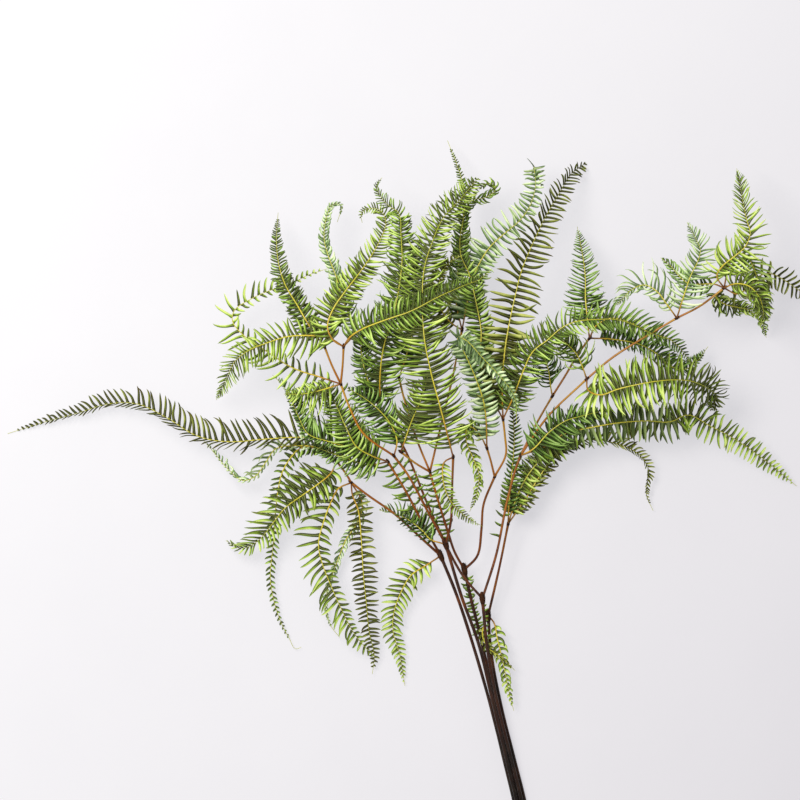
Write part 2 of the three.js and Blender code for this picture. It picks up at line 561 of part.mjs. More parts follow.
// The two corners of a rib station on one side, upper then lower, tipped half way to the row's fold.
function ribCorners(station, hand, plan) {
  const tilt = radians(plan.fold[hand > 0 ? 0 : 1] / 2);
  const halfWidth = mix(RIB_HALF_WIDTH, TIP_HALF_WIDTH, station.share);
  const half = BLADE_THICKNESS / 2;
  const outward = station.left.clone().multiplyScalar(hand);
  const edge = station.centre.clone().addScaledVector(outward, Math.cos(tilt) * halfWidth);
  edge.addScaledVector(station.up, Math.sin(tilt) * halfWidth);
  const normal = station.up.clone().multiplyScalar(Math.cos(tilt)).addScaledVector(outward, -Math.sin(tilt));
  return [edge.clone().addScaledVector(normal, half), edge.clone().addScaledVector(normal, -half)];
}

// A pinna as one thin arched blade cut into leaflets to its rib.
function pinnaGeometry(name, space) {
  const plan = PINNAE[name];
  const stations = ribStations(plan.line);
  const points = [];
  const triangles = [];
  stations.forEach((station) => {
    points.push(...ribCorners(station, 1, plan), ...ribCorners(station, -1, plan));
  });
  // Adds a face, turned over for the right-hand row so that it still looks outward.
  const face = (hand, a, b, c) => triangles.push(...(hand > 0 ? [a, b, c] : [a, c, b]));
  for (let k = 0; k < stations.length - 1; k += 1) {
    const near = 4 * k;
    const far = near + 4;
    triangles.push(near, near + 2, far + 2, near, far + 2, far);
    triangles.push(near + 1, far + 3, near + 3, near + 1, far + 1, far + 3);
    for (const hand of [1, -1]) {
      const top = hand > 0 ? 0 : 2;
      const bottom = top + 1;
      const pose = layLeaflet(stations, k, hand, plan, name, space);
      if (!pose) {
        face(hand, near + top, far + top, far + bottom);
        face(hand, near + top, far + bottom, near + bottom);
        continue;
      }
      const tip = pose.root.clone().addScaledVector(pose.direction, pose.length);
      const tipTop = points.push(tip.clone().addScaledVector(pose.normal, LEAFLET_TIP_THICKNESS / 2)) - 1;
      const tipBottom = points.push(tip.clone().addScaledVector(pose.normal, -LEAFLET_TIP_THICKNESS / 2)) - 1;
      face(hand, near + top, far + top, tipTop);
      face(hand, near + bottom, tipBottom, far + bottom);
      face(hand, near + top, tipTop, tipBottom);
      face(hand, near + top, tipBottom, near + bottom);
      face(hand, far + top, tipBottom, tipTop);
      face(hand, far + top, far + bottom, tipBottom);
    }
  }
  const last = 4 * (stations.length - 1);
  triangles.push(0, 1, 3, 0, 3, 2);
  triangles.push(last, last + 3, last + 1, last, last + 2, last + 3);
  const geometry = new THREE.BufferGeometry();
  const positions = points.flatMap((point) => [point.x, point.y, point.z]);
  geometry.setAttribute('position', new THREE.Float32BufferAttribute(positions, 3));
  geometry.setIndex(triangles);
  return geometry;
}

function bodyGeometry(body) {
  const mesh = body.getMesh();
  const geometry = new THREE.BufferGeometry();
  geometry.setAttribute('position', new THREE.BufferAttribute(mesh.vertProperties, 3));
  geometry.setIndex(new THREE.BufferAttribute(mesh.triVerts, 1));
  return geometry;
}

function colouredMesh(name, geometry, tone) {
  const material = new THREE.MeshStandardMaterial({ color: COLOURS[tone], roughness: 0.85, metalness: 0 });
  const mesh = new THREE.Mesh(geometry, material);
  mesh.name = name;
  return mesh;
}

// The whole spray: the woody fronds first, then every rib is claimed, then the leaflets are laid.
function buildSpray() {
  const spray = new THREE.Group();
  spray.name = 'fern_spray';
  const space = new Space();
  for (const [name, stalk] of Object.entries(STALKS)) {
    spray.add(colouredMesh(name, bodyGeometry(stalkBody(stalk, space)), 'stalk'));
  }
  for (const [name, plan] of Object.entries(PINNAE)) {
    plan.line = ribLine(plan);
    space.addLine(plan.line, RIB_HALF_WIDTH, name);
  }
  for (const [name, plan] of Object.entries(PINNAE)) {
    spray.add(colouredMesh(name, pinnaGeometry(name, space), plan.tone));
  }
  return spray;
}

const group = buildSpray();

export default group;
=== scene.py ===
"""A dried spray of forked fern lying on a pale table, seen from straight above."""
import math

import bpy
import numpy as np
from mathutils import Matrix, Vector


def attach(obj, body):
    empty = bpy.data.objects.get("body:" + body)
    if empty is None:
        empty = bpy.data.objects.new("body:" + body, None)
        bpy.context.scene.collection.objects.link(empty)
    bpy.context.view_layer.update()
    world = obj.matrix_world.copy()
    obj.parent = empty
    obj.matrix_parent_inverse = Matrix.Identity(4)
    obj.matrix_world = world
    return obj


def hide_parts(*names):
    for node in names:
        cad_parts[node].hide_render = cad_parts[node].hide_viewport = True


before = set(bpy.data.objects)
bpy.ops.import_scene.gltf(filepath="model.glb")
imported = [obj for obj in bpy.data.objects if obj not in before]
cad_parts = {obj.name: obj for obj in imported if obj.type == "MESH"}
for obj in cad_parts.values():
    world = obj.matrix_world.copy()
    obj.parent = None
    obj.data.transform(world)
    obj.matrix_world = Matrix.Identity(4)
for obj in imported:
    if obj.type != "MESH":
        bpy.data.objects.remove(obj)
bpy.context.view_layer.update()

# Plan positions were read off the photo in its steps: millimetres for each, and the spray's middle in them.
STEP = 0.7
MIDDLE = (417.64, 503.04)
PHOTO_MIDDLE = (400, 400)
PHOTO_STEPS = 800
METRES = 0.001

# Sizes of the woody stalks, in millimetres, as in the solids.
FOOT_RADIUS = 1.2
FOOT_THINNING = 0.95
BRANCH_SHARE = 0.78
TWIG_RADIUS = 0.7
TWIG_START_SHARE = 1.1
BUD_RADIUS = 2.9
KNOT_RADIUS = 1.7
GROUND_RUN = 22
STACK_RISE = 2.0

# How pinnae leave their forks, as in the solids.
ROOT_GAP = 0.3
ROOT_FAN = 40
WIDEST_FAN = 110
FAN_FADE = 12

# How finely lines are followed: points in a span, and a direction's reach and a rib's step in millimetres.
SPAN_POINTS = 24
LOOK_AHEAD = 1.5
RIB_POINT_GAP = 2

# The ribs: the gap between rings and the radii at root and tip in millimetres, and the share in the bud.
RIB_RING_GAP = 2.2
RIB_SIDES = 7
RIB_RADII = (0.62, 0.16)
RIB_TAPER = 0.8
DEPTH_IN_BUD = 0.45

# Sizes of the leaflets, in millimetres: how far apart they stand, where the first is and how they grow.
PITCH_AT_ROOT = 3.3
PITCH_AT_TIP = 2.3
BARE_LENGTH = 8
BARE_TIP = 1
SHORTEST_LEAFLET = 1.2
HALF_WIDTH_SHARE = 0.29
SHORT_WIDTH_SHARE = 0.6
FULL_WIDTH_GROWTH = 9
GROWTH_START = -6
GROWN_BY = 16
BLUNT_FADE = 16
LEAFLET_THICKNESS = 0.2
LEAFLET_RINGS = 9
RING_EASE = 0.9
SWAY_TURN = 4.5
SPRIG_HALF_WIDTH = 0.9
TABLE_GAP = 0.2
TABLE_CUSHION = 2.0

# How leaflets stray: places along the rib in millimetres, the right row's lag in pitches, the waves' runs in
# millimetres, lengths as shares of the usual one, and the bend of a rib where inner leaflets are cut short.
SPOT_STRAY = 0.25
RIGHT_LAG = 0.35
BEND_WAVE_RUN = 38
LENGTH_WAVE_RUN = 45
LENGTH_MIDDLE = 1.02
LENGTH_WAVE = 0.07
LENGTH_STRAY = 0.05
LENGTH_LIMITS = (0.7, 1.12)
LEAST_BEND = 0.04
BEND_ROOM = 3.0

# How far each of a leaflet's bends strays, in degrees: in waves along the rib, and one by one.
BEND_STRAY = dict(
    fold=(6, 6), lean=(5, 3.5), sweep=(8, 8), hook=(10, 14), sway=(5, 8), droop=(8, 9), curl=(10, 16),
    twist=(12, 18),
)

# The same bends of the small leaflets on the woody branches: the middle and the stray, in degrees.
SPRIG_BENDS = dict(
    fold=(8, 14), lean=(80, 12), sweep=(-12, 12), hook=(-16, 18), sway=(0, 8), droop=(-12, 12),
    curl=(-14, 18), twist=(0, 26),
)
SPRIG_SPOT_STRAY = 0.15
SPRIG_LENGTHS = (0.6, 1.15)
SPRIG_CHANCE = (0.45, -0.15)

# The first seeds of the random draws.
PINNA_SEED = 4100
STALK_SEED = 7300

# A leaflet's section, in half widths: how far across a corner is, its height and its share of the thickness.
SECTION_ACROSS = (-1, -0.5, 0, 0.5, 1, 0)
SECTION_RISE = (-0.26, 0.02, 0.12, 0.02, -0.26, 0.12)
SECTION_THICK = (0, 0.5, 0.5, 0.5, 0, -0.5)
UPPER_CORNERS = 4

# A leaflet's half width from its root to its tip, as shares of the widest.
WIDTH_SPOTS = (0, 0.06, 0.3, 0.6, 0.82, 0.94, 1)
WIDTH_SHARES = (1.35, 1.02, 1, 0.88, 0.62, 0.34, 0.05)

# How leaflets grow, in degrees: lean from the rib at its root and tip, how far they bend and hook forward,
# and how far they droop and curl down.
HABITS = dict(
    combed=dict(lean=(80, 60), sweep=-10, hook=-12, droop=-12, curl=-12, stray=0.9),
    square=dict(lean=(92, 82), sweep=-2, hook=-8, droop=-10, curl=-10, stray=1.1),
    folded=dict(lean=(82, 62), sweep=-10, hook=-12, droop=-34, curl=-26, stray=1.2),
    curled=dict(lean=(80, 54), sweep=-34, hook=-44, droop=-22, curl=-50, stray=1.5),
)

# Each kind of branch: its radii at start and end in millimetres, and its age there, from black to amber.
BRANCH_KINDS = dict(
    foot=((FOOT_RADIUS, FOOT_RADIUS * FOOT_THINNING), (0.0, 0.3)),
    bud=((FOOT_RADIUS * BRANCH_SHARE, TWIG_RADIUS * TWIG_START_SHARE), (0.34, 0.62)),
    knot=((TWIG_RADIUS * TWIG_START_SHARE, TWIG_RADIUS), (0.62, 0.95)),
)
STACK_ANGLE = 60
WOOD_RING_GAP = 3
WOOD_SIDES = 12
SWELL = 0.22
SWELL_RUN = 5
WAVER = 0.03
WAVER_RUN = 5.3

# The scaly spindles at the forks, in their own radii: half length, body, number of scales, a scale's length.
SPINDLES = dict(bud=(1.7, 0.68, 34, 0.62), knot=(1.5, 0.6, 12, 0.7))
SPINDLE_RINGS = 9
SPINDLE_SIDES = 10
SPINDLE_TAPER = 0.86
SCALED_STRETCH = (-0.85, 0.6)
SCALE_TURN = 2.4
SCALE_SINK = 0.93

# A bud scale: how it lifts off at its root and tip, its half width and taper, and its crown in millimetres.
SCALE_RINGS = 4
SCALE_HALF_WIDTH = 0.34
SCALE_LIFT = 0.35
SCALE_LIFTS = (0.25, 0.5)
SCALE_TAPER = (1.6, 0.92)
SCALE_CROWN = 0.12
SCALE_UNDER = 0.6

# A leaflet's side veins, in radians along and across it, and a stalk's ridges.
VEINS_ALONG = 150.0
VEINS_ACROSS = 7.0
STALK_RIDGES = 18.85

# The floor in metres, and how brightly it glows of its own, which keeps shadows on it faint.
FLOOR_HALF = 3.0
FLOOR_GLOW = 0.8

# In metres: the lamp's place and aim, the camera's distance, and the height at which the photo was read.
LAMP_PLACE = (-0.5, 0.5, 1.5)
LAMP_AIM = (0.02, 0.05, 0)
CAMERA_DISTANCE = 5.0
READING_HEIGHT = 0.06

# Where the stalks fork: plan position in steps, height in millimetres.
FORKS = dict(
    a_bud=[441, 557, 20], a_low=[351, 483, 34], a_side=[336, 461, 40], a_high=[388, 462, 44],
    b_bud=[446, 545, 34], b_cross=[394, 456, 66], b_left=[341, 384, 82], b_tip=[325, 347, 92],
    b_top=[344, 347, 98], b_mid=[453, 457, 78], c_bud=[465, 571, 16], c_split=[430, 472, 46],
    c_back=[399, 378, 52], c_front=[401, 452, 60], c_hidden=[462, 330, 60], c_right=[495, 477, 40],
    c_crown=[503, 419, 62], c_grey=[487, 448, 52], d_bud=[483, 600, 24], d_split=[521, 456, 36],
    d_tuft=[553, 396, 40], d_fan=[587, 379, 52], d_point=[590, 338, 46], d_pale=[677, 318, 58],
    d_far=[724, 288, 62], d_back=[381, 411, 56], e_bud=[489, 618, 10], e_low=[509, 525, 20],
)

# Each frond's stalk: its foot, whether it lies on its neighbours, and every branch's passed points.
STALKS = dict(
    stalk_a=dict(foot=(530.5, 868), stacked=False, branches=[
        ("foot", "a_bud", [(511.5, 790), (490.5, 705), (471.5, 640), (456.5, 595)]),
        ("a_bud", "a_low", [(418, 536), (395, 515), (368, 496)]),
        ("a_low", "a_side", [(345, 473)]),
        ("a_bud", "a_high", [(425, 528), (406, 492)]),
    ]),
    stalk_b=dict(foot=(533.2, 868), stacked=True, branches=[
        ("foot", "b_bud", [(514, 790), (493.5, 704), (479, 645), (462, 598)]),
        ("b_bud", "b_cross", [(428, 512), (408, 475)]),
        ("b_cross", "b_left", [(364, 434), (350, 408)]),
        ("b_left", "b_tip", [(332, 365)]),
        ("b_left", "b_top", [(343, 365)]),
        ("b_bud", "b_mid", [(451, 522), (452, 490)]),
    ]),
    stalk_c=dict(foot=(536, 868), stacked=False, branches=[
        ("foot", "c_bud", [(517, 790), (496, 704), (482, 642), (471.5, 600)]),
        ("c_bud", "c_split", [(455, 553), (448, 532), (438, 500)]),
        ("c_split", "c_back", [(417, 440), (405, 402)]),
        ("c_split", "c_front", [(415, 463)]),
        ("c_split", "c_hidden", [(440, 430), (452, 380)]),
        ("c_bud", "c_right", [(478, 557), (482, 530), (484, 505)]),
        ("c_right", "c_crown", [(506, 455), (505, 436)]),
        ("c_right", "c_grey", [(491, 461)]),
    ]),
    stalk_d=dict(foot=(538.7, 868), stacked=True, branches=[
        ("foot", "d_bud", [(519.5, 790), (498, 704), (488, 650)]),
        ("d_bud", "d_split", [(497, 555), (507, 505), (516, 470)]),
        ("d_split", "d_tuft", [(538, 422)]),
        ("d_tuft", "d_point", [(565, 377), (578, 355)]),
        ("d_split", "d_fan", [(548, 417)]),
        ("d_fan", "d_pale", [(612, 358), (645, 337)]),
        ("d_pale", "d_far", [(700, 306)]),
        ("d_bud", "d_back", [(462, 575, 24), (430, 510, 31), (405, 450, 42)]),
    ]),
    stalk_e=dict(foot=(541.5, 868), stacked=False, branches=[
        ("foot", "e_bud", [(522.5, 790), (501, 704), (492, 655)]),
        ("e_bud", "e_low", [(500, 570)]),
    ]),
)


def pinna(fork, heights, reach, tone, *route, fold=(10, 10), fade=2.4, blunt=0):
    """A pinna: its fork, heights half way and at its tip, leaflet lengths left and right in steps, and route.

    The route holds x and y in turn. Leaflets fold up by some degrees, left and right. A fade above the usual
    one keeps them long to the tip, and a blunt pinna keeps them at that share of the longest up to its tip.
    """
    return dict(fork=fork, heights=heights, reach=reach, tone=tone, route=list(zip(route[::2], route[1::2])),
                fold=fold, fade=fade, blunt=blunt)


PINNAE = dict(
    a_bow=pinna("a_low", (30, 8), (16, 27), "fresh", 338, 489, 331, 502, 324, 520, 318, 545, 322, 565,
        331, 588, 342, 613, 354, 636, 366, 651, 375, 659, fold=(-30, 5), fade=4),
    a_plumb=pinna("a_low", (18, 4), (15, 13), "olive", 352, 495, 358, 511, 361, 540, 363, 575, 366, 605,
        369, 635, 374, 658, 372, 677, fold=(20, 20), fade=5),
    a_crook=pinna("a_low", (12, 6), (9, 9), "pale", 362, 504, 357, 524, 346, 540, 340, 554, 334, 570,
        327, 590, 325, 610, 330, 628, 339, 640),
    a_wing=pinna("a_side", (34, 6), (22, 30), "fresh", 331, 473, 317, 485, 300, 497, 285, 508, 272, 524,
        260, 539, 247, 548, 236, 549, 224, 542, fold=(5, 15), fade=3),
    a_thread=pinna("a_side", (14, 3), (10, 10), "leaf", 320, 450, 301, 448, 290, 458, 281, 474, 277, 492,
        274, 515, 272, 545, 269, 580, 273, 605, 281, 628, 288, 641, 294, 652, 300, 650, fold=(15, 10)),
    a_curl=pinna("a_side", (26, 12), (7, 19), "pale", 322, 449, 300, 446, 275, 449, 266, 461, 254, 477,
        241, 481, 227, 470, 214, 455, 201, 440, fold=(30, 10)),
    a_sweep=pinna("a_high", (22, 0.45), (24, 30), "olive", 350, 448, 310, 438, 270, 439, 225, 442, 195, 436,
        165, 418, 135, 404, 105, 404, 75, 413, 45, 421, 3, 434, fold=(70, 5)),
    a_short=pinna("a_high", (50, 38), (22, 20), "deep", 368, 465, 348, 459, 328, 452, 312, 446),
    a_edge=pinna("a_high", (56, 40), (10, 28), "deep", 358, 450, 330, 442, 308, 434, 298, 416, 291, 400,
        283, 386, 272, 375, fold=(50, 5)),
    a_back=pinna("a_high", (66, 52), (28, 28), "leaf", 372, 456, 356, 446, 345, 425, 335, 403, 322, 386,
        fold=(8, 8), blunt=0.55),
    a_spur=pinna("a_bud", (10, 3), (16, 18), "fresh", 426, 567, 411, 577, 401, 594, 394, 614, 393, 634,
        399, 655, 405, 689),
    b_ruff=pinna("b_bud", (30, 20), (16, 25), "deep", 430, 540, 424, 533, 409, 521, 394, 514, 379, 511,
        fold=(75, 10)),
    b_loop=pinna("b_left", (46, 60), (28, 13), "fresh", 320, 377, 293, 368, 266, 351, 243, 335, 232, 321,
        234, 310, 250, 299, 270, 290, 290, 284, 308, 275, 330, 268, fold=(5, 15)),
    b_skirt=pinna("b_left", (70, 56), (30, 15), "fresh", 322, 390, 303, 394, 284, 394),
    b_spike=pinna("b_tip", (74, 14), (16, 16), "leaf", 311, 328, 298, 306, 286, 286, 279, 265, 276, 240,
        277, 211, fold=(15, 15), fade=1.8),
    b_hook=pinna("b_top", (80, 22), (26, 20), "fresh", 329, 338, 310, 336, 288, 337, 268, 343, 250, 350,
        235, 361, 226, 378, 215, 400, fold=(5, 10), fade=3),
    b_lean=pinna("b_top", (92, 40), (20, 20), "fresh", 334, 341, 328, 328, 333, 311, 345, 293, 358, 276,
        370, 259, 380, 241, 386, 224, 381, 211, 369, 208, 361, 213, 362, 222, fold=(15, 15)),
    b_cross=pinna("b_top", (118, 96), (22, 22), "leaf", 350, 338, 362, 330, 385, 321, 411, 312, 438, 298,
        465, 286, 478, 281, 491, 270),
    b_nod=pinna("b_top", (62, 30), (14, 15), "pale", 354, 334, 350, 318, 343, 300, 336, 276, 328, 255,
        324, 238, 326, 218, 332, 204, 341, 204, 337, 221, fold=(10, 20)),
    b_crest=pinna("b_mid", (112, 56), (33, 30), "fresh", 446, 430, 438, 400, 430, 370, 424, 338, 422, 300,
        424, 270, 431, 246, 443, 219, 460, 200, 478, 178, fade=3.5, blunt=0.65),
    b_drop=pinna("b_mid", (62, 34), (12, 15), "fresh", 444, 462, 443, 480, 450, 500, 466, 517, 483, 527,
        fade=1.6),
    b_under=pinna("b_cross", (72, 74), (32, 26), "deep", 397, 441, 390, 423, 378, 409, 363, 397, 347, 388,
        fold=(5, 10)),
    c_behind=pinna("c_back", (44, 30), (24, 24), "deep", 408, 350, 415, 320, 413, 290, 416, 262, 420, 235,
        fold=(8, 8)),
    c_bright=pinna("c_front", (84, 86), (26, 34), "fresh", 405, 440, 412, 420, 420, 402, 425, 386, 430, 368,
        fold=(8, 8)),
    c_tall=pinna("c_crown", (72, 0.45), (28, 29), "olive", 502, 388, 504, 355, 508, 328, 514, 300, 521, 272,
        532, 245, 545, 218, 559, 194, 572, 173, 588, 160, fold=(32, 10), fade=2.6, blunt=0.5),
    c_arch=pinna("c_crown", (92, 66), (24, 22), "leaf", 513, 397, 522, 373, 532, 352, 547, 340, 561, 328,
        575, 322, 595, 320, 615, 320, 635, 326, 652, 334, 672, 340),
    c_needle=pinna("c_crown", (65, 10), (20, 18), "leaf", 495, 404, 485, 381, 480, 357, 481, 332, 476, 303,
        469, 274, 461, 256, 460, 240, 464, 215, 465, 192, 459, 168, 448, 138, fade=1.6, blunt=0.2),
    c_fold=pinna("c_grey", (92, 84), (16, 16), "pale", 486, 420, 483, 400, 474, 375, 465, 355, 457, 337,
        466, 341, 482, 358, 498, 375, 514, 397, 516, 424, fold=(20, 20)),
    c_fall=pinna("c_grey", (64, 40), (13, 13), "fresh", 478, 432, 468, 426, 466, 440, 473, 458, 479, 475,
        476, 497, 470, 512),
    c_plume=pinna("c_hidden", (50, 30), (26, 18), "pale", 468, 300, 474, 275, 489, 248, 505, 233, 520, 220,
        530, 206, 536, 186, 535, 165, 543, 187, blunt=0.5),
    c_ring=pinna("c_hidden", (42, 50), (16, 16), "leaf", 456, 300, 458, 270, 463, 240, 464, 212, 472, 200,
        485, 197, 496, 189, 489, 182, 479, 189, blunt=0.6),
    c_shade=pinna("c_hidden", (76, 82), (20, 10), "olive", 449, 321, 438, 301, 441, 276, 450, 262, 462, 256,
        fold=(20, 10)),
    d_under=pinna("d_split", (44, 36), (26, 30), "deep", 534, 449, 550, 432, 566, 421, 583, 416, 607, 410),
    d_reach=pinna("d_split", (30, 3), (22, 22), "fresh", 545, 447, 565, 434, 590, 428, 620, 423, 648, 421,
        672, 422, 690, 415, 712, 426, 735, 438, 758, 453, 780, 470, 801, 487, fade=4),
    d_shag=pinna("d_tuft", (48, 40), (30, 26), "deep", 551, 386, 549, 371, 545, 356, 544, 343),
    d_hand=pinna("d_fan", (64, 60), (30, 29), "leaf", 583, 368, 577, 355, 568, 345, 556, 337, 543, 333),
    d_bright=pinna("d_fan", (74, 34), (30, 28), "fresh", 588, 390, 600, 395, 618, 389, 645, 383, 670, 380,
        690, 381, 706, 387, 717, 396, 713, 410, fade=5, blunt=0.5),
    d_arrow=pinna("d_point", (42, 12), (27, 27), "deep", 588, 320, 586, 298, 586, 275, 583, 250, 579, 225,
        fade=1.4),
    d_comb=pinna("d_point", (36, 14), (24, 12), "deep", 612, 339, 640, 344, 657, 353, 668, 363, 684, 370,
        698, 362, 711, 346, fold=(10, 50)),
    d_roof=pinna("d_point", (56, 30), (22, 18), "deep", 597, 325, 612, 318, 632, 323, 650, 333, 668, 338,
        681, 348, 692, 362),
    d_ghost=pinna("d_pale", (66, 40), (15, 32), "pale", 667, 305, 657, 292, 645, 285, 631, 290, 622, 300,
        614, 306),
    d_mist=pinna("d_pale", (72, 44), (20, 24), "pale", 683, 297, 690, 276, 697, 262, 700, 250, 695, 237,
        688, 222),
    d_dark=pinna("d_far", (54, 36), (18, 20), "deep", 714, 284, 702, 284, 690, 284, 680, 276, 672, 266,
        662, 257),
    d_spire=pinna("d_far", (78, 26), (20, 24), "fresh", 716, 276, 722, 266, 733, 257, 744, 247, 749, 234,
        746, 221, 743, 203, 741, 185, 739, 167),
    d_droop=pinna("d_far", (57, 8), (26, 22), "leaf", 728, 268, 734, 256, 744, 254, 752, 264, 758, 280,
        762, 297, 765, 320, 770, 337),
    d_ball=pinna("d_far", (86, 64), (24, 22), "fresh", 735, 284, 748, 287, 757, 297, 762, 312, 760, 326),
    d_right=pinna("d_far", (34, 0.45), (20, 20), "olive", 738, 294, 750, 286, 760, 276, 772, 273, 786, 279,
        800, 288, 815, 296, 832, 302),
    d_lap=pinna("d_far", (40, 26), (18, 18), "fresh", 716, 296, 726, 304, 740, 307, 752, 310, 762, 320),
    d_stripe=pinna("d_back", (92, 46), (28, 28), "leaf", 380, 378, 384, 346, 393, 318, 399, 288, 402, 262,
        401, 236, 399, 214, 389, 206, 381, 197, 376, 186, 382, 177, blunt=0.24),
    d_shadow=pinna("d_back", (60, 46), (16, 24), "deep", 372, 392, 365, 371, 361, 351, 362, 334, 368, 318),
    e_arch=pinna("e_low", (18, 3), (19, 14), "olive", 527, 499, 545, 471, 562, 451, 590, 440, 618, 444,
        640, 454, 651, 470, 649, 495, 656, 512, fold=(5, 70)),
    e_light=pinna("e_low", (22, 16), (19, 19), "fresh", 518, 497, 528, 477, 542, 459, 556, 441, 572, 430),
    e_climb=pinna("e_low", (26, 30), (10, 14), "deep", 510, 500, 513, 470, 515, 440, 514, 410, 518, 385),
    e_spur=pinna("e_bud", (14, 9), (12, 12), "fresh", 495, 625, 498, 640, 502, 656, 507, 680, 511, 699,
        515, 714),
    e_twig=pinna("e_bud", (18, 14), (8, 8), "olive", 483, 636, 489, 650, 503, 660, 516, 673),
)

# The pinnae whose leaflets grow otherwise than combed forward.
PINNAE_BY_HABIT = dict(
    square="a_plumb c_tall d_bright d_reach e_light c_plume",
    curled="a_curl a_crook b_nod c_ring c_fall d_ghost d_dark d_droop d_ball d_lap d_hand d_shag "
           "e_twig e_spur",
    folded="d_under d_stripe c_shade b_under d_right a_short",
)
HABIT_OF = {name: habit for habit, names in PINNAE_BY_HABIT.items() for name in names.split()}

# The pinnae whose leaflets stand closer or further apart than usual, as a share of the usual pitch.
SPACING_OF = dict(
    c_tall=1.6, b_loop=1.9, d_reach=1.4, a_sweep=1.5, b_crest=1.2, d_right=1.7, d_roof=1.15, c_fall=1.15,
    a_bow=1.6, a_wing=1.35, a_plumb=1.25, a_thread=1.45, a_curl=1.35, b_hook=1.1, c_fold=1.3, e_spur=1.3,
    e_twig=1.3, a_spur=1.3, c_plume=1.3, c_bright=1.15, d_arrow=0.82, d_shag=0.72, d_hand=0.85, d_comb=0.9,
    d_bright=1.25, b_ruff=0.9, a_edge=0.9,
)

# The pinnae whose leaflets are broader or narrower than usual, as a share of the usual width.
WIDTH_OF = dict(
    c_tall=0.98, a_sweep=0.82, d_shag=0.85, d_hand=0.85, c_arch=0.85, b_crest=0.8, b_nod=1.15, c_needle=1.1,
    b_spike=1.15, a_bow=0.85, a_thread=0.8, a_curl=0.75, d_ghost=0.85, b_loop=0.66, d_right=0.75,
)

# Stretches of a pinna whose leaflets are darker: where they start and end along its rib, and how much darker.
# This is partly the leaflets' own darker colour and partly painted shade, as where a tip curls down.
DARKER_AND_SHADED = dict(
    c_tall=(0.45, 1.1, 0.28), d_bright=(0.74, 1.1, 0.75), a_sweep=(0.0, 1.1, 0.6), a_wing=(0.0, 0.5, 0.35),
    b_crest=(0.0, 0.62, 0.42), c_bright=(0.0, 1.1, 0.42), b_cross=(0.2, 1.1, 0.3),
    d_stripe=(0.0, 0.6, 0.25), a_bow=(0.0, 1.1, 0.32), b_hook=(0.0, 0.35, 0.35), b_loop=(0.0, 0.3, 0.3),
    e_light=(0.0, 1.1, 0.3), d_reach=(0.1, 0.52, 0.42), b_lean=(0.0, 0.3, 0.3), c_arch=(0.0, 0.5, 0.25),
    a_plumb=(0.0, 1.1, 0.45), a_thread=(0.0, 1.1, 0.3), e_climb=(0.0, 1.1, 0.3), c_needle=(0.55, 1.1, 0.4),
    b_spike=(0.0, 1.1, 0.3), c_ring=(0.4, 1.1, 0.3), d_ball=(0.0, 1.1, 0.15),
)
SHADED_EDGE = 0.08

# Stretches of a pinna where this share of the leaflets is turned over and shows a grey-green underside. The
# shader tells them by a chance note that is raised by this much, and so past these limits.
TURNED = dict(d_reach=(0.12, 0.5), a_curl=(0.25, 0.6), c_plume=(0.85, 1.1))
TURNED_SHARE = 0.8
TURNED_CHANCE = 2.0
TURNED_NOTES = (1.15, 1.25)

# The pinnae whose leaflets fold up towards the tip: where along the rib that starts, and degrees at the tip.
FOLDED_TIP = dict(
    d_spire=(0.3, 55), b_hook=(0.6, 50), a_wing=(0.6, 55), d_bright=(0.72, 45), c_tall=(0.5, 24),
    d_mist=(0.5, 40), d_stripe=(0.8, 55), b_loop=(0.0, 12),
)
TIP_FOLD_EASE = 0.7

# How far along its rib, as a share, each pinna has other fronds close under it. There it carries a second row
# of leaflets under each row, darkened in colour as painted shade.
CROWDED_UNTIL = dict(
    a_back=1.0, a_edge=0.8, a_short=1.0, b_skirt=0.8, b_ruff=0.6, b_cross=0.9, b_crest=1.0, b_under=1.0,
    b_lean=0.45, c_behind=0.9, c_bright=1.0, c_shade=1.0, c_arch=0.45, c_tall=0.28, c_needle=0.45,
    c_plume=0.4, c_ring=0.5, d_stripe=0.75, d_shadow=1.0, d_under=1.0, d_bright=1.0, d_comb=0.9,
    d_roof=0.25, d_reach=0.6, d_ball=0.7, d_lap=0.8, e_light=1.0, e_arch=0.45, c_fold=1.0, d_hand=0.9,
    d_shag=0.9, d_arrow=0.35, c_fall=0.3, b_spike=0.45, a_wing=0.4, a_thread=0.2,
)
# The shade row's smaller chance note and its dark are painted shade on its leaflets' colour.
SHADE_ROW = dict(lean=12, fold=-26, length=0.92, spacing=1.15, offset=0.5, chance=0.3, drop=0.35, dark=0.34)
FULL_ROW = dict(lean=0, fold=0, length=1.0, spacing=1.0, offset=0.0, chance=1.0, drop=0.0, dark=0.0)

# The small leaflets that stand straight on the woody branches, by the fork a branch ends in: which side they
# stand on, where along it they start and end, how far apart they are and how long, in millimetres.
SPRIGS = dict(
    a_high=[(1, 0.3, 0.97, 3.8, 12.5), (-1, 0.45, 0.95, 6.5, 6.5)],
    b_cross=[(-1, 0.25, 0.95, 6.5, 9.0), (1, 0.5, 0.95, 6.5, 7.0)],
    c_split=[(1, 0.3, 0.97, 3.3, 11.0), (-1, 0.4, 0.97, 4.4, 8.0)],
    d_split=[(1, 0.45, 0.97, 6.5, 7.5), (-1, 0.6, 0.95, 7.5, 5.0)],
    d_back=[(1, 0.45, 0.95, 7.0, 7.0)],
    b_left=[(-1, 0.3, 0.9, 8.0, 6.5)],
    c_bud=[(1, 0.78, 0.98, 2.6, 5.5), (-1, 0.72, 0.98, 2.6, 5.5)],
    d_bud=[(-1, 0.86, 0.98, 3.4, 4.5)],
)

UP = np.array([0.0, 0.0, 1.0])
LEVEL = np.array([1, 1, 0])

# The places of materials on a pinna and on a stalk.
UPPER_FACE = 0
UNDER_FACE = 1
RIB_FACE = 2
WOOD_FACE = 0
SCALE_FACE = 1
SHARP_ANGLE = 50


def mix(start, end, share):
    """What lies at a share of the way from start to end."""
    return start + (end - start) * share


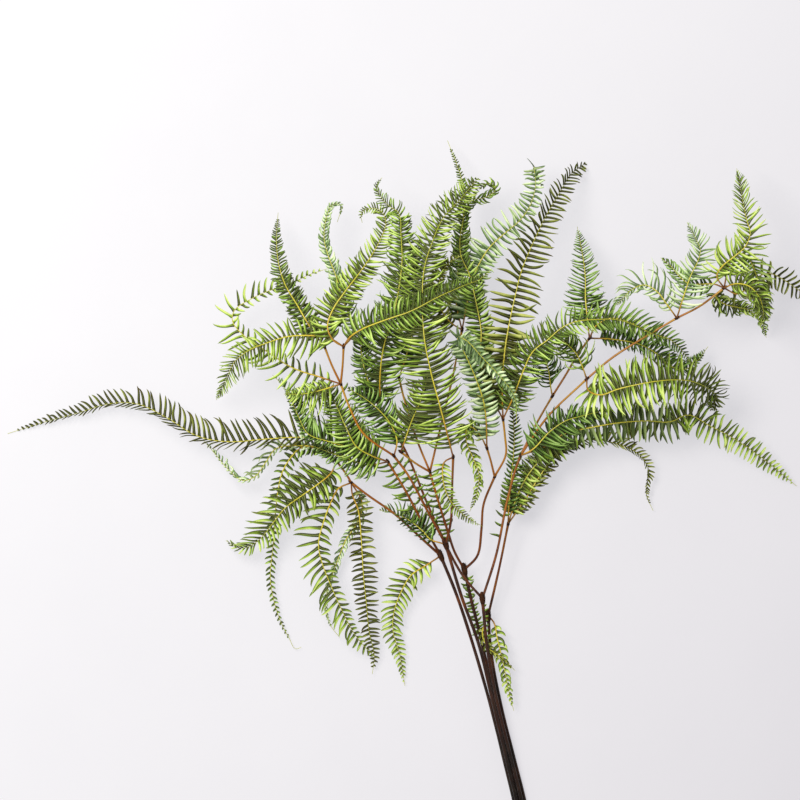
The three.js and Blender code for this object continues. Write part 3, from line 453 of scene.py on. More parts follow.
def unit(vectors):
    """Vectors brought to length one."""
    return vectors / np.linalg.norm(vectors, axis=-1, keepdims=True)


def place(x, y, height=0.0):
    """A plan position in steps and a height in millimetres, as a point in the part's frame."""
    return np.array([(x - MIDDLE[0]) * STEP, (MIDDLE[1] - y) * STEP, height])


def fork_kind(fork):
    """Whether a branch starts at a stalk's foot, a large scaly bud or a small knot."""
    return "foot" if fork == "foot" else "bud" if fork.endswith("_bud") else "knot"


def fork_radius(fork):
    """The radius of the bud or knot at a fork."""
    return BUD_RADIUS if fork_kind(fork) == "bud" else KNOT_RADIUS


def smooth_line(points):
    """A centripetal Catmull-Rom line through the points, as a dense row of points."""
    points = np.asarray(points, float)
    ends = [2 * points[0] - points[1], 2 * points[-1] - points[-2]]
    row = np.vstack([ends[0], points, ends[1]])
    share = np.linspace(0, 1, SPAN_POINTS, endpoint=False)[:, None]
    spans = []
    for a, b, c, d in zip(row[:-3], row[1:-2], row[2:-1], row[3:]):
        before, here, after = (np.linalg.norm(q - p) ** 0.5 for p, q in ((a, b), (b, c), (c, d)))
        leave = ((b - a) / before - (c - a) / (before + here) + (c - b) / here) * here
        arrive = ((c - b) / here - (d - b) / (here + after) + (d - c) / after) * here
        spans.append(b + leave * share + (3 * (c - b) - 2 * leave - arrive) * share ** 2
                     + (2 * (b - c) + leave + arrive) * share ** 3)
    return np.vstack(spans + [points[-1:]])


def lengths_along(line):
    """How far along a line each of its points is."""
    return np.concatenate([[0], np.cumsum(np.linalg.norm(np.diff(line, axis=0), axis=1))])


def points_at(line, distances):
    """Points and forward directions at distances along a dense line."""
    along = lengths_along(line)

    def at(spots):
        """The points at some distances."""
        return np.stack([np.interp(spots, along, line[:, i]) for i in range(3)], axis=1)

    return at(distances), unit(at(distances + LOOK_AHEAD) - at(distances - LOOK_AHEAD))


def directions(forward):
    """The left and up directions beside a row of forward directions."""
    left = unit(np.cross(UP, forward))
    return left, np.cross(forward, left)


class Draft:
    """A mesh in the making: points in millimetres, faces, a material number and notes for the shader."""

    def __init__(self):
        self.points = []
        self.faces = []
        self.kinds = []
        self.notes = []
        self.count = 0

    def add(self, points, faces, kinds, notes):
        """Join on more points and faces, whose corner numbers start at nought."""
        self.points.append(points)
        self.notes.append(np.broadcast_to(notes, (len(points), 3)))
        self.faces.extend([[self.count + corner for corner in face] for face in faces])
        self.kinds.extend(kinds)
        self.count += len(points)

    def tube(self, centres, forward, radii, sides, kind, notes):
        """A closed tube of round rings, whose notes say how far along and how far round a point is."""
        left, up = directions(forward)
        angle = np.linspace(0, 2 * math.pi, sides, endpoint=False)
        ring = left[:, None] * np.cos(angle)[None, :, None] + up[:, None] * np.sin(angle)[None, :, None]
        points = centres[:, None] + ring * radii[:, None, None]
        rows = len(centres)
        told = np.zeros((rows, sides, 3))
        told[:, :, 0] = notes[:, None]
        told[:, :, 1] = angle / math.pi - 1
        faces = section_faces(rows, sides, True)
        self.add(points.reshape(-1, 3), faces, [kind] * len(faces), told.reshape(-1, 3))

    def piece(self, name, materials):
        """The finished object, with the notes as point attributes."""
        points = np.vstack(self.points)
        points[:, 2] = np.maximum(points[:, 2], 0)
        mesh = bpy.data.meshes.new(name)
        mesh.from_pydata((points * METRES).tolist(), [], self.faces)
        mesh.polygons.foreach_set("material_index", self.kinds)
        notes = np.vstack(self.notes)
        for column, label in enumerate(("along", "across", "chance")):
            told = mesh.attributes.new(label, "FLOAT", "POINT")
            told.data.foreach_set("value", np.ascontiguousarray(notes[:, column], dtype=np.float32))
        for material in materials:
            mesh.materials.append(material)
        mesh.shade_smooth()
        mesh.set_sharp_from_angle(angle=math.radians(SHARP_ANGLE))
        made = bpy.data.objects.new(name, mesh)
        bpy.context.scene.collection.objects.link(made)
        return made


def plan_shares(points):
    """How far along a row of points each is, seen from above, as shares of the whole."""
    steps = np.hypot(np.diff(points[:, 0]), np.diff(points[:, 1]))
    total = np.concatenate([[0], np.cumsum(steps)])
    return total / total[-1]


def root_climb(plan):
    """How steeply a pinna leaves its fork: the pinnae of one fork are fanned out, the highest on top."""
    kin = [other for other in PINNAE.values() if other["fork"] == plan["fork"]]
    if len(kin) == 1:
        return 0.0
    lower = sum(other["heights"][0] < plan["heights"][0] for other in kin)
    between = min(ROOT_FAN, WIDEST_FAN / (len(kin) - 1))
    return math.radians((lower - (len(kin) - 1) / 2) * between)


def rib_line(plan):
    """The rib of a pinna, from inside its fork's bud to its tip."""
    fork = FORKS[plan["fork"]]
    points = np.array([place(x, y) for x, y in [fork[:2]] + plan["route"]])
    share = plan_shares(points)
    middle, tip = plan["heights"]
    points[:, 2] = (fork[2] * (1 - share) * (1 - 2 * share) + 4 * middle * share * (1 - share)
                    + tip * share * (2 * share - 1))
    whole = smooth_line(points)
    length = lengths_along(whole)[-1]
    climb = root_climb(plan)
    off = fork_radius(plan["fork"]) + ROOT_GAP
    skipped = off * math.cos(climb)
    share = np.linspace(0, 1, int(length / RIB_POINT_GAP))
    kept, _ = points_at(whole, skipped + (length - skipped) * share)
    kept[:, 2] += off * math.sin(climb) * np.exp(-share * length / FAN_FADE) * (1 - share)
    inner = mix(kept[0], place(*fork), DEPTH_IN_BUD)
    return np.vstack([inner, kept])


def leaflet_share(share, length, plan):
    """How long leaflets are along a pinna, as shares of the longest: short at the root, fading to the tip."""
    step = np.clip((share * length - GROWTH_START) / (GROWN_BY - GROWTH_START), 0, 1)
    fading = 1 - share ** plan["fade"]
    blunt = plan["blunt"] * (1 - share ** BLUNT_FADE)
    return step * step * (3 - 2 * step) * np.maximum(fading, blunt)


def leaflet_distances(length, spacing):
    """Where leaflets stand along a rib, closer together towards the tip."""
    found = [BARE_LENGTH]
    while found[-1] < length - BARE_TIP:
        found.append(found[-1] + spacing * mix(PITCH_AT_ROOT, PITCH_AT_TIP, found[-1] / length))
    return np.array(found[:-1])


def ripple(spots, wavelength, dice):
    """A smooth random wave along a rib, made of two waves, so that neighbouring leaflets are alike."""
    first, second = dice.uniform(0, 2 * math.pi, 2)
    turns = 2 * math.pi * spots / wavelength
    quicker = 2.3
    strength = 0.4
    return (1 - strength) * np.sin(turns + first) + strength * np.sin(turns * quicker + second)


def inside_of_bend(line, spots, pitch, hand, longest):
    """Leaflets cut short on the inner side of a tight bend, where they would cross."""
    _, before = points_at(line, spots - pitch)
    _, after = points_at(line, spots + 2 * pitch)
    turn = np.cross(before, after)[:, 2] * hand
    room = BEND_ROOM * pitch / np.maximum(turn, LEAST_BEND)
    return np.where(turn > LEAST_BEND, np.minimum(longest, room), longest)


def above_table(points):
    """Points with those near the table eased up, so that nothing goes through it."""
    room = TABLE_CUSHION - TABLE_GAP
    low = points[..., 2] < TABLE_CUSHION
    eased = TABLE_GAP + room * np.exp((np.minimum(points[..., 2], TABLE_CUSHION) - TABLE_CUSHION) / room)
    points[..., 2] = np.where(low, eased, points[..., 2])
    return points


def section_faces(rows, corners, turned):
    """Faces of one tube of rows by corners, as corner numbers; turned swaps their facing."""
    faces = []
    for row in range(rows - 1):
        for k in range(corners):
            beside = (k + 1) % corners
            here = row * corners
            after = here + corners
            faces.append([here + k, here + beside, after + beside, after + k])
    faces.append(list(range(corners))[::-1])
    faces.append([(rows - 1) * corners + k for k in range(corners)])
    return [face[::-1] for face in faces] if turned else faces


def grow(draft, root, forward, outward, up, hand, longest, half, growth):
    """Leaflets laid all at once: each is a thin roof-shaped blade that follows its own bends in the rings."""
    count = len(longest)
    across = np.array(SECTION_ACROSS)[None, :, None]
    rise = np.array(SECTION_RISE)[None, :, None]
    thick = np.array(SECTION_THICK)[None, :, None] * LEAFLET_THICKNESS
    out_share = np.linspace(0, 1, LEAFLET_RINGS) ** RING_EASE
    widths = np.interp(out_share, WIDTH_SPOTS, WIDTH_SHARES)
    position = root
    rings = []
    notes = []
    before = 0
    for s, width_share in zip(out_share, widths):
        elevation = growth["fold"] + growth["droop"] * s ** 2 + growth["curl"] * s ** 4
        sway = growth["sway"] * np.sin(SWAY_TURN * s + growth["phase"])
        angle = growth["lean"] + growth["sweep"] * s + growth["hook"] * s ** 3 + sway
        flat = outward * np.cos(elevation) + up * np.sin(elevation)
        normal = up * np.cos(elevation) - outward * np.sin(elevation)
        direction = flat * np.sin(angle) + forward * np.cos(angle)
        wide = forward * np.sin(angle) - flat * np.cos(angle)
        tilt = growth["twist"] * s
        edge = wide * np.cos(tilt) + normal * np.sin(tilt)
        face = normal * np.cos(tilt) - wide * np.sin(tilt)
        position = position + direction * (longest * (s - before))[:, None]
        before = s
        width = (half * width_share)[:, None, None]
        rings.append(position[:, None] + edge[:, None] * across * width
                     + face[:, None] * (rise * width + thick))
        told = np.zeros((count, len(SECTION_ACROSS), 3))
        told[:, :, 0] = s
        told[:, :, 1] = SECTION_ACROSS
        told[:, :, 2] = growth["chance"][:, None]
        notes.append(told)
    points = above_table(np.stack(rings, axis=1))
    told = np.stack(notes, axis=1)
    corners = len(SECTION_ACROSS)
    pattern = section_faces(LEAFLET_RINGS, corners, hand < 0)
    sides = (LEAFLET_RINGS - 1) * corners
    kinds = [UPPER_FACE if k % corners < UPPER_CORNERS else UNDER_FACE for k in range(sides)]
    kinds += [UNDER_FACE, UPPER_FACE]
    block = LEAFLET_RINGS * corners
    faces = [[leaf * block + corner for corner in face] for leaf in range(count) for face in pattern]
    draft.add(points.reshape(-1, 3), faces, kinds * count, told.reshape(-1, 3))


def darker_and_shaded(name, share):
    """How much darker the leaflets are at shares along a pinna's rib: partly their own colour, partly painted
    shade.
    """
    start, end, most = DARKER_AND_SHADED.get(name, (0.0, 1.0, 0.0))
    into = np.clip((share - start) / SHADED_EDGE + 1, 0, 1)
    out_of = np.clip((end - share) / SHADED_EDGE, 0, 1)
    return most * into * out_of


def tip_fold(name, share):
    """How many degrees further leaflets fold up at shares along a pinna's rib."""
    start, most = FOLDED_TIP.get(name, (0.0, 0.0))
    return most * np.clip((share - start) / (1 - start), 0, 1) ** TIP_FOLD_EASE


def turned_over(name, share, dice):
    """Added to the chance note of leaflets that show their undersides, which the shader tells apart by it."""
    start, end = TURNED.get(name, (0.0, 0.0))
    inside = (share > start) & (share < end) & (dice.random(len(share)) < TURNED_SHARE)
    return np.where(inside, TURNED_CHANCE, 0.0)


def add_leaflets(draft, line, name, hand, row, until, dice):
    """One row of narrow leaflets along a rib; hand is 1 on the left and -1 on the right."""
    plan = PINNAE[name]
    habit = HABITS[HABIT_OF.get(name, "combed")]
    spacing = SPACING_OF.get(name, 1.0) * row["spacing"]
    side = 0 if hand > 0 else 1
    length = lengths_along(line)[-1]
    spots = leaflet_distances(length, spacing)
    share = spots / length
    pitch = spacing * mix(PITCH_AT_ROOT, PITCH_AT_TIP, share)
    spots = spots + pitch * (row["offset"] + side * RIGHT_LAG) + dice.normal(0, SPOT_STRAY, len(spots))
    longest = plan["reach"][side] * STEP * row["length"] * leaflet_share(share, length, plan)
    varied = LENGTH_MIDDLE + LENGTH_WAVE * ripple(spots, LENGTH_WAVE_RUN, dice)
    varied = varied + dice.normal(0, LENGTH_STRAY, len(share))
    longest = inside_of_bend(line, spots, pitch, hand, longest * varied.clip(*LENGTH_LIMITS))
    keep = (longest > SHORTEST_LEAFLET) & (share < until)
    if not keep.any():
        return
    spots, share, pitch, longest = (values[keep] for values in (spots, share, pitch, longest))
    count = len(longest)
    root, forward = points_at(line, spots)
    left, up = directions(forward)
    root = root - up * row["drop"]
    fold = plan["fold"][side] + row["fold"] + tip_fold(name, share)
    middles = dict(habit, fold=fold, lean=mix(*habit["lean"], share) + row["lean"], sway=0, twist=0)
    growth = {}
    for bend, (wave, scatter) in BEND_STRAY.items():
        strayed = wave * ripple(spots, BEND_WAVE_RUN, dice) + dice.normal(0, scatter, count)
        growth[bend] = np.radians(middles[bend] + habit["stray"] * strayed)[:, None]
    growth["phase"] = dice.uniform(0, 2 * math.pi, (count, 1))
    # A lower chance note gives a darker colour: the row's dark is painted shade, and the darker stretches are
    # partly painted shade.
    growth["chance"] = (dice.random(count) * row["chance"] - row["dark"] - darker_and_shaded(name, share)
                        + turned_over(name, share, dice))
    widened = np.minimum(1, SHORT_WIDTH_SHARE + longest / FULL_WIDTH_GROWTH)
    half = WIDTH_OF.get(name, 1.0) * HALF_WIDTH_SHARE * pitch * widened
    grow(draft, root, forward, left * hand, up, hand, longest, half, growth)


def build_pinna(name, plan, number):
    """A pinna: its rib and both rows of leaflets, standing for the solid of the same name."""
    dice = np.random.default_rng(PINNA_SEED + number)
    line = rib_line(plan)
    draft = Draft()
    length = lengths_along(line)[-1]
    spots = np.linspace(0, length, int(length / RIB_RING_GAP))
    centres, forward = points_at(line, spots)
    radii = mix(*RIB_RADII, (spots / length) ** RIB_TAPER)
    draft.tube(above_table(centres), forward, radii, RIB_SIDES, RIB_FACE, spots / length)
    for row, until in ((FULL_ROW, 1.0), (SHADE_ROW, CROWDED_UNTIL.get(name, 0.0))):
        for hand in (1, -1):
            add_leaflets(draft, line, name, hand, row, until, dice)
    tone = plan["tone"]
    piece = draft.piece(name + "_leaflets", [UPPER[tone], UNDER[tone], RIB])
    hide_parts(name)
    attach(piece, "root")


def branch_line(stalk, branch):
    """The middle line of one branch; a branch from a foot lies flat on the table first."""
    start_name, end_name, passed = branch
    foot_height = FOOT_RADIUS * math.sin(math.radians(STACK_ANGLE)) + (STACK_RISE if stalk["stacked"] else 0)
    start = [*stalk["foot"], foot_height] if start_name == "foot" else FORKS[start_name]
    end = FORKS[end_name]
    points = np.array([place(*point) if len(point) == 3 else place(*point, np.nan)
                       for point in [start] + passed + [end]])
    share = plan_shares(points)
    given = ~np.isnan(points[:, 2])
    points[:, 2] = np.where(given, points[:, 2], mix(start[2], end[2], share))
    if start_name == "foot":
        ahead = unit((points[1] - points[0]) * LEVEL)
        points = np.vstack([points[:1], points[0] + ahead * GROUND_RUN, points[1:]])
    return smooth_line(points)


def add_scale(draft, root, out, along, size, chance):
    """One small pointed bud scale that lies along a bud."""
    side = unit(np.cross(along, out))
    power, most = SCALE_TAPER
    at_root, at_tip = SCALE_LIFTS
    points = []
    notes = []
    for s in np.arange(SCALE_RINGS) / (SCALE_RINGS - 1):
        middle = root + along * size * s + out * (at_root + at_tip * s * s) * size * SCALE_LIFT
        half = side * size * SCALE_HALF_WIDTH * (1 - s ** power * most)
        crown = out * SCALE_CROWN
        points += [middle - half, middle + crown, middle + half, middle - crown * SCALE_UNDER]
        notes += [[s, across, chance] for across in (-1, 0, 1, 0)]
    faces = section_faces(SCALE_RINGS, 4, False)
    draft.add(np.array(points), faces, [SCALE_FACE] * len(faces), np.array(notes))


def add_bud(draft, fork, forward, dice):
    """A spindle-shaped bud or knot at a fork, wrapped in scales."""
    radius = fork_radius(fork)
    length_share, body_share, scales, scale_share = SPINDLES[fork_kind(fork)]
    centre = place(*FORKS[fork])
    left, up = (sideways[0] for sideways in directions(forward[None]))
    half_length = radius * length_share
    body = radius * body_share
    share = np.linspace(-1, 1, SPINDLE_RINGS)
    radii = body * np.sqrt(1 - share ** 2 * SPINDLE_TAPER)
    draft.tube(centre + forward * (share * half_length)[:, None], np.tile(forward, (SPINDLE_RINGS, 1)), radii,
               SPINDLE_SIDES, SCALE_FACE, share * 0.5 + 0.5)
    for k in range(scales):
        s = mix(*SCALED_STRETCH, (k + 0.5) / scales)
        out = left * math.cos(k * SCALE_TURN) + up * math.sin(k * SCALE_TURN)
        thick = body * math.sqrt(1 - s * s * SPINDLE_TAPER)
        root = centre + forward * s * half_length + out * thick * SCALE_SINK
        add_scale(draft, root, out, forward, radius * scale_share, dice.random())


def add_sprigs(draft, line, rows, dice):
    """Small sparse leaflets straight on a woody branch."""
    length = lengths_along(line)[-1]
    for hand, start, end, pitch, longest in rows:
        spots = np.arange(start * length, end * length, pitch)
        count = len(spots)
        spots = spots + dice.normal(0, SPRIG_SPOT_STRAY * pitch, count)
        root, forward = points_at(line, spots)
        left, up = directions(forward)
        growth = {}
        for bend, (middle, scatter) in SPRIG_BENDS.items():
            growth[bend] = np.radians(dice.normal(middle, scatter, count))[:, None]
        growth["phase"] = dice.uniform(0, 2 * math.pi, (count, 1))
        spread, least = SPRIG_CHANCE
        growth["chance"] = dice.random(count) * spread + least
        lengths = longest * dice.uniform(*SPRIG_LENGTHS, count)
        grow(draft, root, forward, left * hand, up, hand, lengths, np.full(count, SPRIG_HALF_WIDTH), growth)


def build_stalk(name, stalk, number):
    """A woody frond: its stalk and branches, with a scaly bud at each fork."""
    dice = np.random.default_rng(STALK_SEED + number)
    draft = Draft()
    sprigs = Draft()
    for branch in stalk["branches"]:
        start_name, end_name, _ = branch
        line = branch_line(stalk, branch)
        length = lengths_along(line)[-1]
        spots = np.linspace(0, length, int(length / WOOD_RING_GAP))
        centres, forward = points_at(line, spots)
        share = spots / length
        ends, ages = BRANCH_KINDS[fork_kind(start_name)]
        swell = np.exp(-((1 - share) * length / SWELL_RUN) ** 2)
        radii = mix(*ends, share) * (1 + SWELL * swell + WAVER * np.sin(spots / WAVER_RUN + number))
        if start_name == "foot":
            level = spots < GROUND_RUN
            forward[level] = unit(forward[level] * LEVEL)
            centres[level, 2] = centres[0, 2]
        draft.tube(centres, forward, radii, WOOD_SIDES, WOOD_FACE, mix(*ages, share))
        add_bud(draft, end_name, forward[-1], dice)
        if end_name in SPRIGS:
            add_sprigs(sprigs, line, SPRIGS[end_name], dice)
    piece = draft.piece(name + "_wood", [WOOD, SCALE])
    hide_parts(name)
    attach(piece, "root")
    if sprigs.count:
        piece = sprigs.piece(name + "_sprigs", [UPPER["leaf"], UNDER["leaf"], RIB])
        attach(piece, "root")


def linear(colour):
    """A web colour as the linear values that the shaders take."""
    values = [int(colour[i:i + 2], 16) / 255 for i in (1, 3, 5)]
    return [v / 12.92 if v <= 0.04045 else ((v + 0.055) / 1.055) ** 2.4 for v in values] + [1.0]


class Nodes:
    """A material's node tree with short ways to add and join nodes."""

    def __init__(self, name):
        self.material = bpy.data.materials.new(name)
        self.material.use_nodes = True
        self.tree = self.material.node_tree
        self.shader = self.tree.nodes["Principled BSDF"]

    def put(self, socket, value):
        """A socket linked to another, or set to a plain value."""
        if isinstance(value, bpy.types.NodeSocket):
            self.tree.links.new(value, socket)
        else:
            socket.default_value = value

    def note(self, label):
        """One of the notes on a piece's points."""
        node = self.tree.nodes.new("ShaderNodeAttribute")
        node.attribute_name = label
        return node.outputs["Fac"]

    def math(self, kind, first, second=0.0, third=0.0):
        """One step of arithmetic."""
        node = self.tree.nodes.new("ShaderNodeMath")
        node.operation = kind
        for socket, value in zip(node.inputs, (first, second, third)):
            self.put(socket, value)
        return node.outputs[0]

    def times(self, first, second):
        """The product of two values."""
        return self.math("MULTIPLY", first, second)

    def plus(self, first, second):
        """The sum of two values."""
        return self.math("ADD", first, second)

    def weigh(self, first, share, second, other_share):
        """Two values added up, each by its own share."""
        return self.math("MULTIPLY_ADD", first, share, self.times(second, other_share))

    def far(self):
        """How far from its middle line a point of a leaf or scale is, as a share of the half width."""
        return self.math("ABSOLUTE", self.note("across"))

    def noise(self, scale, detail=3.0, roughness=0.55, stretch=(1.0, 1.0, 1.0)):
        """Fine random marks, fixed to the piece."""
        source = self.tree.nodes.new("ShaderNodeTexCoord")
        mapping = self.tree.nodes.new("ShaderNodeMapping")
        node = self.tree.nodes.new("ShaderNodeTexNoise")
        mapping.inputs["Scale"].default_value = stretch
        self.put(mapping.inputs["Vector"], source.outputs["Object"])
        self.put(node.inputs["Vector"], mapping.outputs["Vector"])
        for label, value in (("Scale", scale), ("Detail", detail), ("Roughness", roughness)):
            node.inputs[label].default_value = value
        return node.outputs["Fac"]

    def spread(self, value, low, high, to_low=0.0, to_high=1.0):
        """The stretch from low to high laid onto another, and cut off at its ends."""
        node = self.tree.nodes.new("ShaderNodeMapRange")
        for socket, number in zip(node.inputs, (value, low, high, to_low, to_high)):
            self.put(socket, number)
        return node.outputs["Result"]

    def worn_gloss(self, scale, least, most):
        """Roughness that wanders between two values in patches."""
        return self.spread(self.noise(scale), 0.3, 0.7, least, most)

    def ramp(self, value, stops):
        """Colours read off a row of stops."""
        node = self.tree.nodes.new("ShaderNodeValToRGB")
        self.put(node.inputs["Fac"], value)
        ramp = node.color_ramp
        while len(ramp.elements) < len(stops):
            ramp.elements.new(0.5)
        for element, (spot, colour) in zip(ramp.elements, stops):
            element.position = spot
            element.color = linear(colour)
        return node.outputs["Color"]

    def blend(self, share, first, second):
        """Some share of the second colour over the first."""
        node = self.tree.nodes.new("ShaderNodeMix")
        node.data_type = "RGBA"
        self.put(node.inputs["Factor"], share)
        self.put(node.inputs["A"], first)
        self.put(node.inputs["B"], linear(second) if isinstance(second, str) else second)
        return node.outputs["Result"]

    def bump(self, height, strength, distance):
        """Relief over the whole surface."""
        node = self.tree.nodes.new("ShaderNodeBump")
        node.inputs["Strength"].default_value = strength
        node.inputs["Distance"].default_value = distance
        self.put(node.inputs["Height"], height)
        self.put(self.shader.inputs["Normal"], node.outputs["Normal"])

    def finish(self, colour, roughness, specular):
        """The material, with its colour, roughness and gloss."""
        self.put(self.shader.inputs["Base Color"], colour)
        self.put(self.shader.inputs["Roughness"], roughness)
        self.shader.inputs["Specular IOR Level"].default_value = specular
        return self.material


def leaf_veins(nodes):
    """Fine side veins that run slantwise from a leaflet's midrib to its edges."""
    along = nodes.times(nodes.note("along"), VEINS_ALONG)
    slant = nodes.math("SUBTRACT", along, nodes.times(nodes.far(), VEINS_ACROSS))
    return nodes.math("MULTIPLY_ADD", nodes.math("SINE", slant), 0.5, 0.5)


def leaf_upper(tone, dark, middle, light, edge, browning):
    """The upper face, dark to light: painted shade at the root and on one half, side veins, a pale crease and
    dry brown edges.
    """
    nodes = Nodes("leaf_upper_" + tone)
    far = nodes.far()
    along = nodes.note("along")
    chance = nodes.note("chance")
    turned = nodes.spread(chance, *TURNED_NOTES)
    chance = nodes.math("SUBTRACT", chance, nodes.times(turned, TURNED_CHANCE))
    mottle = nodes.weigh(chance, 0.46, nodes.noise(42.0), 0.66)
    # Painted light and shade: across its fold, one half of each leaflet is lighter and the other darker.
    mottle = nodes.plus(mottle, nodes.times(nodes.note("across"), 0.25))
    # Painted shade: each leaflet darkens towards its root at the rib.
    painted_shade_at_root = nodes.spread(along, 0.0, 0.42, -0.38, 0.03)
    base = nodes.ramp(nodes.plus(mottle, painted_shade_at_root), [(0.27, dark), (0.52, middle), (0.79, light)])
    base = nodes.blend(nodes.times(leaf_veins(nodes), 0.14), base, light)
    base = nodes.blend(nodes.spread(far, 0.16, 0.0, 0.0, 0.45), base, light)
    worn = nodes.plus(nodes.spread(along, 0.5, 1.0, 0.0, 0.6), nodes.spread(far, 0.6, 1.0, 0.0, 0.4))
    worn = nodes.times(worn, nodes.spread(nodes.noise(110.0, 4.0), 0.62 - browning, 0.78 - browning))
    grey = nodes.ramp(mottle, [(0.25, "#3a4a28"), (0.75, "#9cac7c")])
    colour = nodes.blend(nodes.times(turned, 0.75), nodes.blend(worn, base, edge), grey)
    nodes.bump(nodes.plus(nodes.times(leaf_veins(nodes), 0.5), nodes.noise(1600.0, 2.0)), 0.35, 0.0002)
    return nodes.finish(colour, nodes.worn_gloss(300.0, 0.36, 0.55), 0.07)


def leaf_under(tone, dark, light):
    """The underside: pale grey-green with a raised midrib."""
    nodes = Nodes("leaf_under_" + tone)
    mottle = nodes.weigh(nodes.note("chance"), 0.4, nodes.noise(60.0), 0.6)
    base = nodes.ramp(mottle, [(0.25, dark), (0.75, light)])
    base = nodes.blend(nodes.spread(nodes.far(), 0.18, 0.0, 0.0, 0.6), base, "#a9a862")
    nodes.bump(nodes.plus(leaf_veins(nodes), nodes.noise(1500.0, 2.0)), 0.3, 0.0002)
    return nodes.finish(base, nodes.worn_gloss(260.0, 0.5, 0.7), 0.04)


def rib_material():
    """The pinna's rib: brown at its root, then straw and olive."""
    nodes = Nodes("rib")
    age = nodes.math("MULTIPLY_ADD", nodes.noise(70.0), 0.2, nodes.note("along"))
    base = nodes.ramp(age, [(0.11, "#74420f"), (0.2, "#b98f24"), (0.3, "#c9bb3c"), (0.9, "#a9ac2c")])
    nodes.bump(nodes.noise(2200.0, 2.0, stretch=(0.3, 1.0, 1.0)), 0.3, 0.0002)
    return nodes.finish(base, nodes.worn_gloss(400.0, 0.4, 0.6), 0.45)


def wood_material():
    """Stalks: near black at the foot, red-brown above, amber in the last twigs, with fine ridges and painted
    highlights on their crests.
    """
    nodes = Nodes("stalk_wood")
    age = nodes.plus(nodes.note("along"), nodes.spread(nodes.noise(55.0, 4.0), 0.3, 0.7, -0.16, 0.14))
    base = nodes.ramp(age, [(0.02, "#120807"), (0.27, "#34140a"), (0.42, "#70380e"), (0.68, "#a0621a"),
                            (0.95, "#b2842a")])
    ridges = nodes.math("SINE", nodes.times(nodes.note("across"), STALK_RIDGES))
    # Painted highlight: pale patches along the crests of the ridges.
    lit = nodes.times(nodes.spread(ridges, 0.2, 1.0, 0.0, 0.12), nodes.spread(nodes.noise(90.0), 0.4, 0.65))
    nodes.bump(nodes.math("MULTIPLY_ADD", ridges, 0.3, nodes.noise(1200.0, 3.0)), 0.5, 0.0003)
    return nodes.finish(nodes.blend(lit, base, "#8f7f6c"), nodes.worn_gloss(150.0, 0.3, 0.5), 0.25)


def scale_material():
    """Bud scales: dark brown with rusty, thin edges."""
    nodes = Nodes("bud_scale")
    share = nodes.weigh(nodes.far(), 0.4, nodes.noise(400.0), 0.6)
    base = nodes.ramp(share, [(0.2, "#120a07"), (0.5, "#2c160c"), (0.85, "#6e3f1c")])
    nodes.bump(nodes.noise(2600.0, 2.0), 0.5, 0.0002)
    return nodes.finish(base, nodes.worn_gloss(500.0, 0.5, 0.75), 0.15)


# Each tone: the upper face from dark to light, the worn edge, the underside from dark to light, the browning.
TONES = dict(
    fresh=("#0a1201", "#6e930a", "#d0e086", "#6e6c18", "#32501a", "#7c9844", 0.1),
    leaf=("#070e01", "#587e0c", "#bed67c", "#5e5a16", "#2c481a", "#6f8c44", 0.1),
    deep=("#040901", "#3e620c", "#a0be72", "#454a12", "#264218", "#5f7c42", 0.08),
    olive=("#0a0d01", "#4c580a", "#b4ba6c", "#54400e", "#333f16", "#73793c", 0.14),
    pale=("#284818", "#7e9e5c", "#dae8c2", "#808038", "#51704a", "#9fb588", 0.06),
)
UPPER = {}
UNDER = {}
for tone, (dark, middle, light, edge, under_dark, under_light, browning) in TONES.items():
    UPPER[tone] = leaf_upper(tone, dark, middle, light, edge, browning)
    UNDER[tone] = leaf_under(tone, under_dark, under_light)
RIB = rib_material()
WOOD = wood_material()
SCALE = scale_material()


def floor_glow(nodes):
    """The floor's own glow, painted light that is brightest at the upper left, towards the window, and fades
    to the lower right.
    """
    source = nodes.tree.nodes.new("ShaderNodeTexCoord")
    split = nodes.tree.nodes.new("ShaderNodeSeparateXYZ")
    nodes.put(split.inputs["Vector"], source.outputs["Object"])
    slant = nodes.math("MULTIPLY_ADD", split.outputs["Y"], 0.5, nodes.times(split.outputs["X"], -0.8))
    return nodes.ramp(nodes.spread(slant, -0.4, 0.4), [(0.0, "#cfcdd4"), (1.0, "#f3f3f7")])


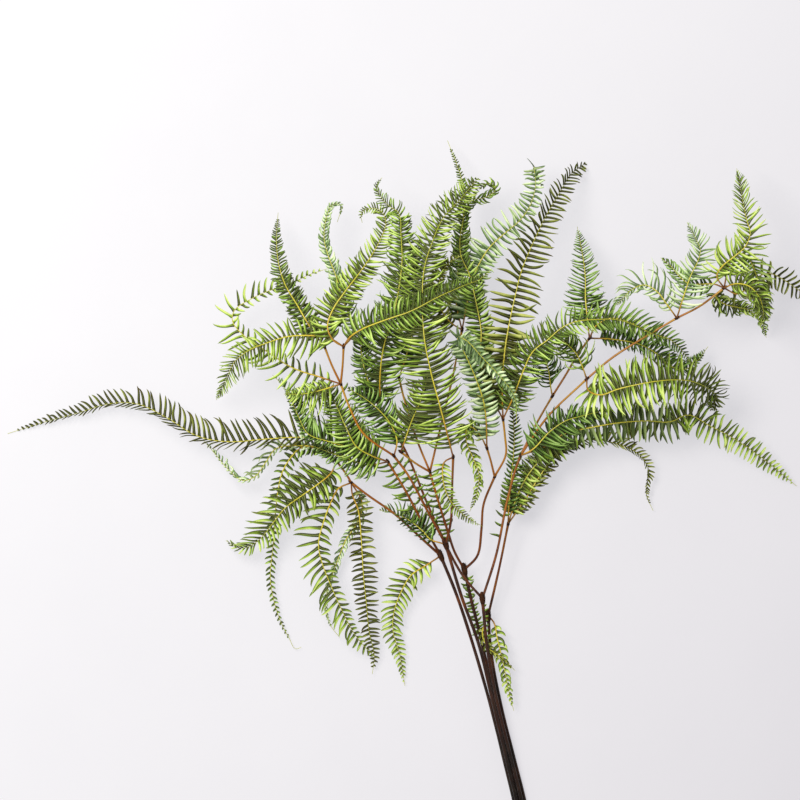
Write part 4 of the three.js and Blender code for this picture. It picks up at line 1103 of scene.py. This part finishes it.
def build_floor():
    """The floor: a grey painted surface with faint marks, made pale by its own glow, which is painted light.
    """
    half = FLOOR_HALF
    mesh = bpy.data.meshes.new("floor")
    corners = [(-half, -half, 0), (half, -half, 0), (half, half, 0), (-half, half, 0)]
    mesh.from_pydata(corners, [], [range(4)])
    nodes = Nodes("floor_paint_and_glow")
    base = nodes.ramp(nodes.noise(3.0, 5.0), [(0.3, "#76747a"), (0.7, "#7c7a80")])
    nodes.put(nodes.shader.inputs["Emission Color"], floor_glow(nodes))
    nodes.shader.inputs["Emission Strength"].default_value = FLOOR_GLOW
    nodes.bump(nodes.noise(60.0, 6.0, 0.65), 0.12, 0.002)
    mesh.materials.append(nodes.finish(base, nodes.worn_gloss(20.0, 0.7, 0.85), 0.2))
    floor = bpy.data.objects.new("floor", mesh)
    bpy.context.scene.collection.objects.link(floor)


def build_light():
    """Soft daylight from the upper left and a pale room around."""
    world = bpy.data.worlds.new("pale_room")
    world.use_nodes = True
    room = world.node_tree.nodes["Background"].inputs
    room["Color"].default_value = (1.0, 0.99, 0.87, 1.0)
    room["Strength"].default_value = 0.42
    bpy.context.scene.world = world
    lamp = bpy.data.lights.new("window", "AREA")
    lamp.size = 0.7
    lamp.energy = 31
    lamp.color = (1.0, 0.98, 0.86)
    window = bpy.data.objects.new("window", lamp)
    bpy.context.scene.collection.objects.link(window)
    window.location = LAMP_PLACE
    window.rotation_euler = (Vector(LAMP_AIM) - Vector(LAMP_PLACE)).to_track_quat("-Z", "Y").to_euler()


def build_camera():
    """A long lens straight above, framed as the photo is."""
    data = bpy.data.cameras.new("camera")
    data.lens = data.sensor_width * CAMERA_DISTANCE / (PHOTO_STEPS * STEP * METRES)
    camera = bpy.data.objects.new("camera", data)
    bpy.context.scene.collection.objects.link(camera)
    middle = place(*PHOTO_MIDDLE) * METRES
    camera.location = (middle[0], middle[1], READING_HEIGHT + CAMERA_DISTANCE)
    bpy.context.scene.camera = camera


for number, (name, stalk) in enumerate(STALKS.items()):
    build_stalk(name, stalk, number)
for number, (name, plan) in enumerate(PINNAE.items()):
    build_pinna(name, plan, number)
build_floor()
build_light()
build_camera()
bpy.context.scene.view_settings.view_transform = "Standard"
